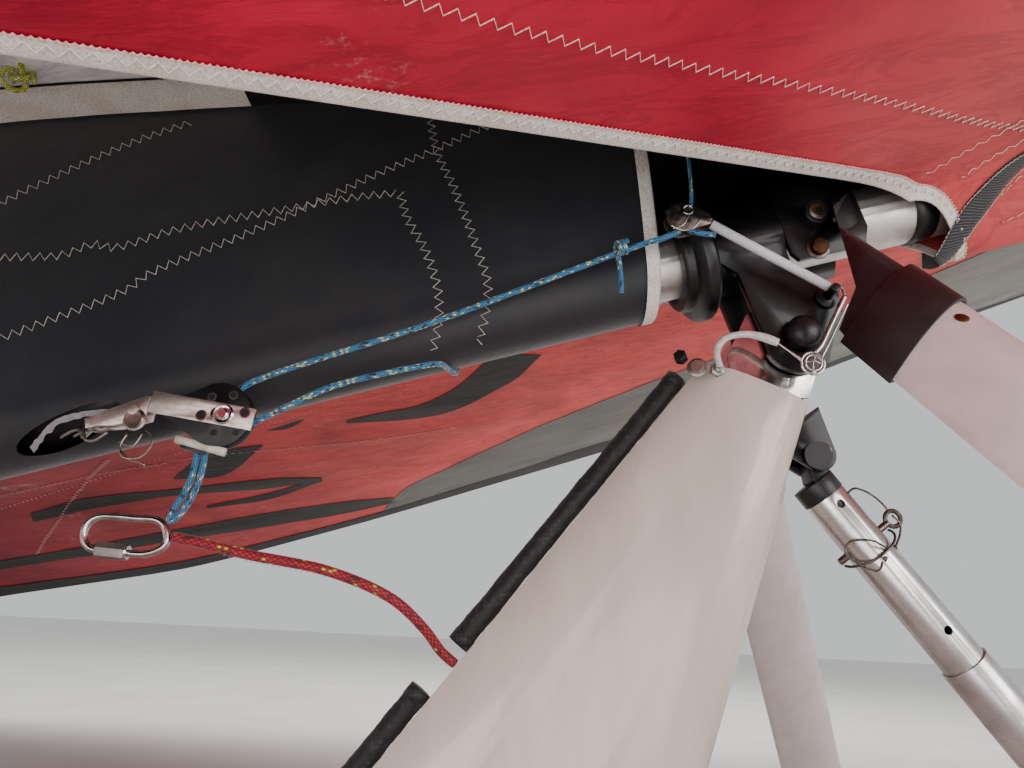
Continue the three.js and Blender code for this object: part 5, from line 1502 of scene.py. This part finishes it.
hook = [(22.4, 39.6), (26.8, 41.4), (31.6, 38.2), (33.4, 31.5)]
shank = [at_bolt(33.4, -47.6, 31.5)]
for share in (0.25, 0.5, 0.75):
    shank.append(at_bolt(*(PIN_TOP.lerp(PIN_EYE, share) - Vector((0, 0.3, 0)))))
shank.append(at_eye(math.radians(105), 8.6, -48.2))
leg = [at_eye(math.radians(60), 8.2, -49)]
for share in (0.3, 0.6, 0.88):
    leg.append(at_bolt(*(PIN_EYE.lerp(PIN_TOP, share) + pin_across * 4.4 - Vector((0, 2.2, 0)))))
coil_turns = [math.radians(15 * i) for i in range(24)]
pieces = [
    tube("safety_pin_hook", [at_bolt(x, -47.6, z) for x, z in hook], 0.0011, "hang_block", sides=10),
    tube("safety_pin_shank", shank, 0.0021, "hang_block", sides=12),
    tube("safety_pin_leg", leg, 0.0009, "hang_block", sides=8),
    tube("safety_pin_coil", [at_eye(turn, 9.3, -47.4) for turn in coil_turns], 0.0013,
         "hang_block", sides=10, closed=True),
    tube("safety_pin_inner_coil", [at_eye(turn, 6.6, -49.2) for turn in coil_turns], 0.0011,
         "hang_block", sides=10, closed=True),
    tube("safety_pin_web", [at_eye(math.radians(200), 6.0, -49), at_eye(math.radians(120), 1.5, -49.4),
                            at_eye(math.radians(20), 6.0, -49)], 0.0010, "hang_block", sides=8),
    tube("safety_pin_cross", [at_eye(math.radians(290), 6.0, -49), at_eye(math.radians(250), 1.0, -49.6),
                              at_eye(math.radians(100), 6.0, -49)], 0.0008, "hang_block", sides=8),
]
for piece in pieces:
    paint(piece, polished_stainless)
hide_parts("safety_pin")
print("safety pin bent from", len(pieces), "wires")

# %% [markdown]
# The pin's lanyard is a soft clear sleeve over a loop of thin wire, and the sleeve has gone milky. It is
# drawn as a tube that swells at its free end, where the wire comes out.

# %% Lanyard of the safety pin
def clear_sleeving(name):
    finish, tree = start_finish(name)
    spot = add(tree, "ShaderNodeTexCoord", outlet="Object")
    cloud = add(tree, "ShaderNodeTexNoise", spot, scale=240.0, detail=4.0)
    colour = add(tree, "ShaderNodeValToRGB", cloud, stops=[(0.35, "#C9C4BE"), (0.65, "#EFECE6")])
    end_finish(tree, base_color=colour, roughness=0.32, coat_weight=0.4, subsurface_weight=0.15)
    return finish


# PVC sleeving gone milky: soft gloss, light scattered inside
milky_sleeving = clear_sleeving("milky PVC sleeving")
LANYARD = [
    (-70, -36, -33), (-72.5, -37, -20), (-66, -38, -9), (-50, -41, -5), (-36, -44, -8), (-24, -46, -13),
]


def swollen_end(along_sleeve, turn):
    return 0.0009 * math.exp(-((along_sleeve - 0.062) / 0.012) ** 2)


lanyard_route = smooth_line([at_bolt(*p) for p in LANYARD], 0.003)
lanyard = tube("pin_lanyard_sleeve", lanyard_route, 0.0028, sides=14, curved=False, wave=swollen_end)
paint(lanyard, milky_sleeving)
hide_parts("pin_lanyard")
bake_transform(lanyard)
loops = [[at_bolt(-26, -46 + d, -12 + d), at_bolt(-16, -47 + d, -20 + d), at_bolt(-6.4, -48.1, -28 + d)]
         for d in (-0.9, 0.9)]
lanyard_wire = many_tubes("pin_lanyard_wire", [smooth_line(loop, 0.002) for loop in loops], 0.0007, sides=8)
paint(lanyard_wire, polished_stainless)
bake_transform(lanyard_wire)
print("lanyard is", round(line_length(lanyard_route), 3), "m long")

# %% [markdown]
# Bolts, rivets, washers and pins are turned or forged round one axis. A short list of radius and height
# pairs is revolved round that axis, and with six sides the same list makes a hexagon head.

# %% Turned pieces
def turned(name, base, axis, profile, body, finish, sides=28):
    """profile is (radius, height) in mm from the base outward along the axis."""
    axis = Vector(axis).normalized()
    side = axis.orthogonal().normalized()
    other = axis.cross(side)
    corners, faces = [], []
    for radius, height in profile:
        for k in range(sides):
            turn = 2 * math.pi * k / sides
            around = side * math.cos(turn) + other * math.sin(turn)
            corners.append(base + (axis * height + around * radius) / 1000)
    for i in range(len(profile) - 1):
        for k in range(sides):
            m = (k + 1) % sides
            faces.append((i * sides + k, i * sides + m, (i + 1) * sides + m, (i + 1) * sides + k))
    faces.append(tuple(reversed(range(sides))))
    faces.append(tuple(range((len(profile) - 1) * sides, len(profile) * sides)))
    piece = new_piece(name, corners, faces, body)
    piece.data.set_sharp_from_angle(angle=math.radians(30))
    paint(piece, finish)


HEX = [(6.4, 0), (6.4, 3.4), (5.6, 4.2), (0.1, 4.2)]
WASHER = [(8.2, 0), (8.2, 1.2), (7.6, 1.5), (0.1, 1.5)]
RIVET = [(8.0, 0), (8.0, 0.7), (6.8, 1.6), (5.6, 1.2), (4.3, 1.2), (4.1, 2.6), (3.2, 3.2), (0.1, 3.2)]
# A black disc that stands for the dark depth of a hole: painted shade
HOLE_SHADE_SPOT = [(3.4, 0), (3.4, 0.25), (0.1, 0.25)]
SPOT_RIM = [(4.4, 0), (4.4, 0.15), (4.0, 0.2), (0.1, 0.2)]
PIN_HEAD = [(8.6, 0), (8.6, 0.9), (7.2, 1.3), (7.2, 2.8), (6.6, 3.4), (4.6, 3.1), (0.1, 3.3)]
print("turning profiles ready")

# %% [markdown]
# The trim block has black nylon cheeks with lightening holes and a stainless strap riveted across, and its
# fork is held by a clevis pin. Every hole is a black disc, painted shade for its depth, with a thin paler
# rim, set just proud of the face.

# %% Rivet, holes and pin of the trim block
STRAP_FACE = -67.1
CHEEK_FACE = -64.6
turned("trim_rivet", on_keel(-469.1, STRAP_FACE, -60.3), STARBOARD, RIVET, "wing", polished_stainless)
# Each hole is a black disc of painted shade inside a stainless rim
for number, (u, w) in enumerate([(-485.2, -57.0), (-452.9, -63.3)], 1):
    turned(f"strap_hole_rim_{number}", on_keel(u, STRAP_FACE, w), STARBOARD, SPOT_RIM, "wing",
           polished_stainless)
    turned(f"strap_hole_{number}", on_keel(u, STRAP_FACE - 0.1, w), STARBOARD, HOLE_SHADE_SPOT, "wing",
           moulded_black)
# Nylon, moulded: a paler grey ring round each hole
cheek_rim = chipped_black("moulded nylon, paler grey", "#3A3634", "#55504C", 0.4, 0.1, 0.8, 0.0)
for number, (u, w) in enumerate([(-476, -43.4), (-459.9, -46.3), (-478.9, -72.0), (-462.7, -76.2)], 1):
    turned(f"cheek_hole_rim_{number}", on_keel(u, CHEEK_FACE, w), STARBOARD,
           [(r * 0.8, h) for r, h in SPOT_RIM], "wing", cheek_rim)
    turned(f"cheek_hole_{number}", on_keel(u, CHEEK_FACE - 0.1, w), STARBOARD,
           [(r * 0.72, h) for r, h in HOLE_SHADE_SPOT], "wing", moulded_black)
turned("clevis_pin", on_keel(-534.4, -66.6, -47.7), STARBOARD, PIN_HEAD, "wing", cast_stainless)
print("trim block's cheek dressed")

# %% [markdown]
# A cream nylon bar guides the rope out below the block. It is a short stick with four flattened sides.

# %% Guide bar
def cream_nylon(name):
    finish, tree = start_finish(name)
    spot = add(tree, "ShaderNodeTexCoord", outlet="Object")
    dirt = add(tree, "ShaderNodeTexNoise", spot, scale=90.0, detail=6.0)
    colour = add(tree, "ShaderNodeValToRGB", dirt, stops=[(0.35, "#B9AE98"), (0.6, "#E9E3D3")])
    end_finish(tree, base_color=colour, roughness=0.45, subsurface_weight=0.1)
    return finish


# Nylon bar, sawn and filed: cream, a little dirty along its edges
cream_bar = cream_nylon("cream nylon")
BAR_LINE = [(-508, -61, -68.6), (-491, -61, -78.4), (-474, -61, -88.2)]


def flattened(along_bar, turn):
    return 0.0005 * abs(math.cos(2 * turn))


bar = tube("fairlead_bar", [on_keel(*p) for p in BAR_LINE], 0.0031, "wing", sides=12, curved=False,
           wave=flattened)
paint(bar, cream_bar)
print("guide bar in place")

# %% [markdown]
# Thin stainless wires finish the anchor: a split ring hangs below the clevis pin, and seizing wires come
# out of the pocket's hole. Each row lists a wire's places along the keel and its radius in metres.

# %% Wires at the anchor
WIRES = [
    # the split ring, its two loose ends, and the two wires that come out of the hole
    ([(-541, -67, -57), (-547, -68, -66), (-545, -69, -75), (-534, -69, -78.5), (-525, -68, -72),
      (-523, -67, -64), (-528, -66, -57)], 0.00085),
    ([(-546, -68, -70), (-541, -69, -78), (-533, -70, -83), (-530, -70, -86)], 0.0006),
    ([(-548, -67, -62), (-538, -68, -68), (-530, -67, -60)], 0.0007),
    ([(-556, -66, -52), (-566, -65, -55.5), (-574, -62, -52), (-578, -56, -44), (-585, -50, -38.5),
      (-595, -44, -37), (-604, -38, -37)], 0.0012),
    ([(-552, -64, -49), (-562, -62, -49), (-570, -58, -45), (-580, -50, -41), (-592, -42, -40)], 0.0010),
]
for number, (points, radius) in enumerate(WIRES, 1):
    wire = tube(f"trim_wire_{number}", [on_keel(*p) for p in points], radius, "wing", sides=8, step=0.002)
    paint(wire, cast_stainless)
print("anchor wires", len(WIRES))

# %% [markdown]
# The cloth at the upper edge of the hole is frayed: a narrow strip on the pocket's surface, crumpled by a
# noise that is only a few millimetres wide. Behind the hole, the keel is wrapped in dull black tape.

# %% Frayed lip of the hole
# (u, w) of the hole's upper edge, from aft to front
LIP = [(-634, -34.5), (-626, -30.5), (-616, -24.5), (-607, -20.6), (-596, -19.3), (-584, -19.8),
       (-573, -20.9), (-561, -23.5)]
lip_rows = []
for i, spot in enumerate(smooth_line([Vector((u, w, 0)) for u, w in LIP], 1.8)):
    crumple = [1.9 * noise.noise(Vector((spot.x / 3.5, k / 1.6, 3))) for k in range(5)]
    drop = 1.1 + 0.5 * noise.noise(Vector((spot.x / 7, 4, 4)))
    lip_row = []
    for k in range(5):
        height = spot.y - k * drop
        lip_row.append(on_keel(spot.x, -pocket_half(spot.x, height) - 0.6 + crumple[k], height))
    lip_rows.append(lip_row)
lip_marks = [[(i * 0.0018, k * 0.0011) for k in range(5)] for i in range(len(lip_rows))]
hole_lip = grid("hole_lip", lip_rows, "wing", lip_marks)
# Polyester cloth, torn at its edge: painted grey for the shade it lies in, folded every few millimetres and
# grubby
frayed_cloth = sailcloth("frayed polyester cloth", "#97939C", "#B0ACB4", -650, -540, "#5E5A62", crease_mm=6,
                         scuffs=0.9)
paint(hole_lip, frayed_cloth)
keel_wrap = tube("keel_wrap", [on_keel(-720, 0, 0), on_keel(-470, 0, 0)], 0.0315, "wing", sides=40,
                 curved=False)
paint(keel_wrap, moulded_black)
print("lip of the hole has", len(lip_rows), "rows")

# %% [markdown]
# The small block is a weathered stainless one. Its cheek has a boss over the pin, lightening holes and a
# few bent wires, which keep the pin in.

# %% Small block
BLOCK_FACE = -73.7
BOSS = [(5.0, 0), (5.0, 0.5), (3.6, 0.8), (0.1, 0.8)]
EYE = [(2.8, 0), (2.8, 0.3), (0.1, 0.3)]
SMALL_HOLE = [(2.1, 0), (2.1, 0.3), (0.1, 0.3)]
turned("small_block_boss", on_keel(-83.5, BLOCK_FACE, 10.5), STARBOARD, BOSS, "hang_block", weathered_steel)
# The eye and the holes are black discs of painted shade for their depth
turned("small_block_eye", on_keel(-83.5, BLOCK_FACE - 0.8, 10.5), STARBOARD, EYE, "hang_block",
       moulded_black)
for number, (u, w) in enumerate([(-72.4, 14.6), (-73.6, 6.4), (-79.4, 19.2), (-88.4, 17.6)], 1):
    turned(f"small_block_hole_{number}", on_keel(u, BLOCK_FACE, w), STARBOARD, SMALL_HOLE, "hang_block",
           moulded_black)
RIBS = [
    # (u, w) on the cheek's face
    [(-89, 2.0), (-80, 3.0), (-74, 9), (-70, 17), (-66.5, 20)],
    [(-90, 5.5), (-82, -1.2), (-72, -1.6), (-64.5, 5), (-63.5, 12)],
    [(-70, 20), (-75, 17.5), (-75, 13), (-70, 11.6), (-67, 15), (-70, 20)],
]
for number, points in enumerate(RIBS, 1):
    rib = tube(f"small_block_rib_{number}", [on_keel(u, BLOCK_FACE - 0.3, w) for u, w in points], 0.0006,
               "hang_block", sides=8, step=0.0015)
    paint(rib, polished_stainless)
print("small block dressed")

# %% [markdown]
# A short piece of the blue rope goes on from the block into the white tube, which keeps it from chafing.
# The tube is extruded PVC, so its faint streaks all run lengthwise.

# %% White tube
INTO_TUBE = [(-76, -68.5, 2), (-68, -68, -4), (-54, -67, -9)]
link_line = tube("line_into_tube", [on_keel(*p) for p in INTO_TUBE], 0.0022, "hang_block", sides=12,
                 step=0.0015, wave=line_braid)
paint(link_line, blue_polyester)
WHITE_TUBE = [(-54.2, -67, 1.2), (29.7, -49.1, -70.3)]


def extruded_white(name):
    finish, tree = start_finish(name)
    marks = add(tree, "ShaderNodeUVMap", uv_map="round_along")
    stretched = add(tree, "ShaderNodeMapping", marks, scale=(9.0, 90.0, 1.0))
    streaks = add(tree, "ShaderNodeTexNoise", stretched, scale=4.0, detail=5.0)
    colour = add(tree, "ShaderNodeValToRGB", streaks, stops=[(0.35, "#C9C6D2"), (0.6, "#EFEDF2")])
    end_finish(tree, base_color=colour, roughness=0.4, subsurface_weight=0.1)
    return finish


# PVC tube, extruded: white with faint lengthwise streaks
white_pvc = extruded_white("white PVC tube")
white_tube = tube("white_tube_streaked", [on_keel(*p) for p in WHITE_TUBE], 0.004, "hang_block", sides=24,
                  curved=False)
paint(white_tube, white_pvc)
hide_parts("white_tube")
print("white tube in place")

# %% [markdown]
# The quick link is one round bar bent to a slanted pear shape, with a long hexagon nut that closes its gap.
# The nut's mouth shows as a bright collar. The bar is a closed tube along its bent line.

# %% Quick link
LINK_CENTRE = Vector((-523, -57, -197))
LINK_BEND = [
    # (x, z) from the link's centre, once round from its front end
    (34, -1), (30.5, 8.5), (24, 13), (8, 13.6), (-8, 14.2), (-19, 13.4), (-25.5, 9.5), (-28, 3),
    (-26.5, -4.5), (-21, -9.8), (-10, -11.2), (6, -11.8), (18, -12), (27, -9.5), (32.5, -5.5),
]
link_line_points = [at_bolt(*(LINK_CENTRE + Vector((x, 0, z)))) for x, z in LINK_BEND]
link_bar = tube("quick_link_bar", link_line_points, 0.0026, "hang_block", sides=16, step=0.002, closed=True)
paint(link_bar, polished_stainless)
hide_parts("quick_link")
nut_way = Vector((22, 0, -1))
nut_low = at_bolt(*(LINK_CENTRE + Vector((-17, 0, -10.4))))
LINK_NUT = [(3.0, 0), (5.2, 0.8), (6.0, 1.8), (6.0, 21.4), (5.4, 22.4), (3.2, 22.4)]
LINK_COLLAR = [(5.4, 0), (5.6, 0.8), (5.0, 1.8), (3.0, 2.0)]
turned("link_nut", nut_low, nut_way, LINK_NUT, "hang_block", zinc_plate, 6)
nut_high = nut_low + nut_way.normalized() * LINK_NUT[-1][1] / 1000
turned("link_collar", nut_high, nut_way, LINK_COLLAR, "hang_block", polished_stainless)
print("nut on the link")

# %% [markdown]
# The strut's locking pin is kept by a thin wire lanyard that runs from under the top fitting through the
# pin's ring, down to a crimped ferrule, and ends in a loop round the far end of the pin.

# %% Locking pin's wires
STRUT_LEAN = math.radians(39)
strut_down = Vector((math.sin(STRUT_LEAN), 0, -math.cos(STRUT_LEAN)))
strut_side = Vector((math.cos(STRUT_LEAN), 0, math.sin(STRUT_LEAN)))
pin_centre = Vector((23.9, 0, -130.5)) + strut_down * 47
BAIL_HALF = 24.5
BAIL_BULGE = 20.5
bail = []
for i in range(25):
    turn = math.pi * i / 24
    spot = pin_centre + strut_side * -BAIL_HALF * math.cos(turn) + strut_down * (4.6 + 7 * math.sin(turn))
    bail.append(at_bolt(spot.x, -BAIL_BULGE * math.sin(turn), spot.z))
bail_wire = tube("locking_pin_bail", bail, 0.0011, "strut_upper", sides=8, curved=False)
paint(bail_wire, weathered_steel)
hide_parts("strut_pin_bail")
PIN_WIRES = [
    # from the fitting to the pin's ring, from the ring down, and the loop round the pin's far end
    [(36, -13, -131), (46, -8, -123.5), (56, -5, -124.6), (66, -2, -129), (73, -1, -135), (78, 0, -141)],
    [(79, -1, -143), (85, -1, -149), (84, -2, -157), (80, -5, -164), (75, -8, -171)],
    [(70, -11, -173.5), (62, -20.6, -172), (50, -24.6, -167.5), (40, -24.4, -167.4), (33, -22, -169),
     (29.5, -20, -175), (33, -22, -182.5), (42, -24.5, -188), (52, -22.6, -190.4), (58, -18.5, -187),
     (60, -16.5, -183)],
]
for number, points in enumerate(PIN_WIRES, 1):
    wire = tube(f"pin_wire_{number}", [at_bolt(*p) for p in points], 0.0009, "strut_upper", sides=8,
                step=0.002)
    paint(wire, weathered_steel)
FERRULE = [(75, -8, -170), (68.5, -12.5, -175), (60.5, -16.5, -181.5)]
ferrule = tube("pin_ferrule", [at_bolt(*p) for p in FERRULE], 0.0026, "strut_upper", sides=12, step=0.002)
paint(ferrule, weathered_steel)
turned("strut_bolt_washer", at_bolt(11.5, -23.9, -101), STARBOARD, [(11.5, 0), (11.5, 1.6), (0.1, 1.6)],
       "strut_upper", moulded_black)
print("pin wired")

# %% [markdown]
# A few fasteners finish the joint: two hexagon heads and a washer at the fairing's rear corner, a ring
# round the hang bolt's cap, a socket bolt in its bush and a brown plated bolt on the control frame's
# bracket, a small hole in the keel, a nut on the knuckle, and a screw in the leg below its cover. The bolt's
# socket and the keel's hole are black discs, painted shade for their depth. Each row of the table is one
# turned piece.

# %% Fasteners
FAIRING_WAY = (-0.35, -1, 0.1)
FASTENERS = [
    # name, place from the hang bolt, axis, profile, body, finish, sides
    ("fairing_nut", (-88.5, -35.5, -34.5), FAIRING_WAY, HEX, "pylon", zinc_plate, 6),
    ("fairing_nut_washer", (-88.6, -34.6, -34.5), FAIRING_WAY, WASHER, "pylon", zinc_plate, 28),
    ("fairing_bolt_black", (-101, -33, -27), (-0.5, -1, 0.2),
     [(5.6, 0), (5.6, 7), (4.6, 8), (0.1, 8)], "pylon", moulded_black, 6),
    ("bolt_dome_ring", (0, -46.5, 0), STARBOARD,
     [(10.6, 0), (10.6, 0.5), (9.8, 0.9), (0.1, 0.9)], "pylon", zinc_plate, 28),
    ("frame_bolt_bush", (18.4, -36.2, 113.9), STARBOARD,
     [(11.5, 0), (11.5, 5.4), (10.6, 6.2), (8, 6.2)], "wing", moulded_black, 28),
    ("frame_bolt_rim", (18.4, -44.1, 113.9), STARBOARD,
     [(5.6, 0), (5.6, 0.2), (0.1, 0.2)], "wing", brown_plate, 28),
    # the socket's recess is a black disc of painted shade
    ("frame_bolt_socket", (18.4, -44.3, 113.9), STARBOARD,
     [(3.4, 0), (3.4, 0.2), (0.1, 0.2)], "wing", moulded_black, 6),
    # the hole is a black disc of painted shade
    ("keel_hole", (34.1, -30.1, 115.9), STARBOARD, HOLE_SHADE_SPOT, "wing", moulded_black, 28),
    ("bracket_washer", (18.5, -35.9, 80.5), STARBOARD,
     [(10.5, 0), (10.5, 1.2), (9.8, 1.6), (0.1, 1.6)], "wing", weathered_steel, 28),
    ("bracket_bolt", (18.5, -37.2, 80.5), STARBOARD,
     [(7.6, 0), (7.6, 5.6), (6.2, 7), (0.1, 7)], "wing", brown_plate, 12),
    ("knuckle_nut", (54, -56, 66), (0.2, -0.62, 0.76),
     [(5.6, -8), (5.6, 4.2), (4.6, 5.6), (0.1, 5.6)], "wing", zinc_plate, 6),
    ("leg_screw", (28.3, -208.7, -53.9), (-0.08, -0.82, 0.57),
     [(4.2, 0), (4.2, 0.7), (3, 1.3), (0.1, 1.3)], "wing", brown_plate, 28),
]
for name, place, axis, profile, body, finish, sides in FASTENERS:
    turned(name, at_bolt(*place), axis, profile, body, finish, sides)
# This black band round the keel near the opening's nose is a painted shadow: it stands for the shade there
ring = tube("keel_band", [on_keel(148, 0, 0), on_keel(170, 0, 0)], 0.0308, "wing", sides=40, curved=False)
paint(ring, moulded_black)
print("fasteners placed:", len(FASTENERS))

# %% [markdown]
# Old cord is fuzzy where it has rubbed. A few dozen broken fibres stand off its lower half, each a thread
# of three points whose direction comes from a noise, so that it is the same every time.

# %% Fuzz on the red cord
FIBRES = 46
fuzz_lines = []
for i in range(FIBRES):
    start = Vector(red_route[10 + i * (len(red_route) // 2 - 12) // FIBRES])
    ahead = noise.noise(Vector((i, 1, 1)))
    aside = noise.noise(Vector((i, 5, 1))) - 0.3
    below = noise.noise(Vector((i, 1, 5))) - 0.9
    reach = Vector((ahead, aside, below)).normalized()
    middle = start + reach * 0.0052 + Vector((0.0016, 0, 0))
    tip = start + reach * 0.0058 + Vector((0.0048 * noise.noise(Vector((i, 9, 9))), 0, 0.0006))
    fuzz_lines.append([start + reach * 0.0032, middle, tip])
fuzz = many_tubes("red_cord_fuzz", fuzz_lines, 0.00022, sides=4)
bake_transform(fuzz)
paint(fuzz, grey_thread)
print("fibres", len(fuzz_lines))

# %% [markdown]
# The stage is a pale painted floor. It also throws some light back up under the sail.

# %% Floor
FLOOR_HALF = 8
FLOOR_Z = -0.001
floor_corners = [(x * FLOOR_HALF, y * FLOOR_HALF, FLOOR_Z) for x, y in ((-1, -1), (1, -1), (1, 1), (-1, 1))]
floor = new_piece("floor", floor_corners, [(0, 1, 2, 3)])
# Painted concrete: pale and matt, with broad faint patches
floor_paint, tree = start_finish("pale painted floor")
spot = add(tree, "ShaderNodeTexCoord", outlet="Object")
patches = add(tree, "ShaderNodeTexNoise", spot, scale=6.0, detail=6.0)
colour = add(tree, "ShaderNodeValToRGB", patches, stops=[(0.3, "#D6D4D0"), (0.7, "#E2E0DC")])
end_finish(tree, base_color=colour, roughness=0.8)
paint(floor, floor_paint)
print("floor laid")

# %% [markdown]
# The light comes from an even grey sky and four broad lamps, because small lamps would throw hard shadows
# that the photograph doesn't have. Each lamp is a square sheet of light that faces a place on the wing.

# %% Sky and lamps
world = bpy.data.worlds.new("studio")
bpy.context.scene.world = world
world.use_nodes = True
world.node_tree.nodes["Background"].inputs["Color"].default_value = (0.92, 0.94, 0.96, 1)
world.node_tree.nodes["Background"].inputs["Strength"].default_value = 0.75


def soft_light(name, place_m, towards, size, watts, colour):
    lamp = bpy.data.lights.new(name, "AREA")
    lamp.size = size
    lamp.energy = watts
    lamp.color = colour
    light = bpy.data.objects.new(name, lamp)
    light.location = place_m
    way = Vector(towards) - Vector(place_m)
    light.rotation_euler = way.to_track_quat("-Z", "Y").to_euler()
    light.visible_camera = False
    bpy.context.scene.collection.objects.link(light)


# One ahead of the wing, a low one that fills the shadows, one over the far side, and one just above the
# floor that lights the sail from below
soft_light("front_light", (3.5, -3.8, 1.7), (0.1, 0, 0.5), 2.9, 155, (1, 0.98, 0.95))
soft_light("low_light", (-1.2, -1.8, 0.5), (0, 0, 0.6), 0.9, 16, (1, 1, 1))
soft_light("roof_light", (0.4, 1.2, 2.6), (0, 0, 0.6), 2.5, 90, (1, 0.97, 0.92))
soft_light("floor_glow", (0.1, -1.0, 0.2), (0.1, -0.7, 0.87), 0.9, 5.5, (1, 0.98, 0.96))
print("lamps set:", len(bpy.data.lights))
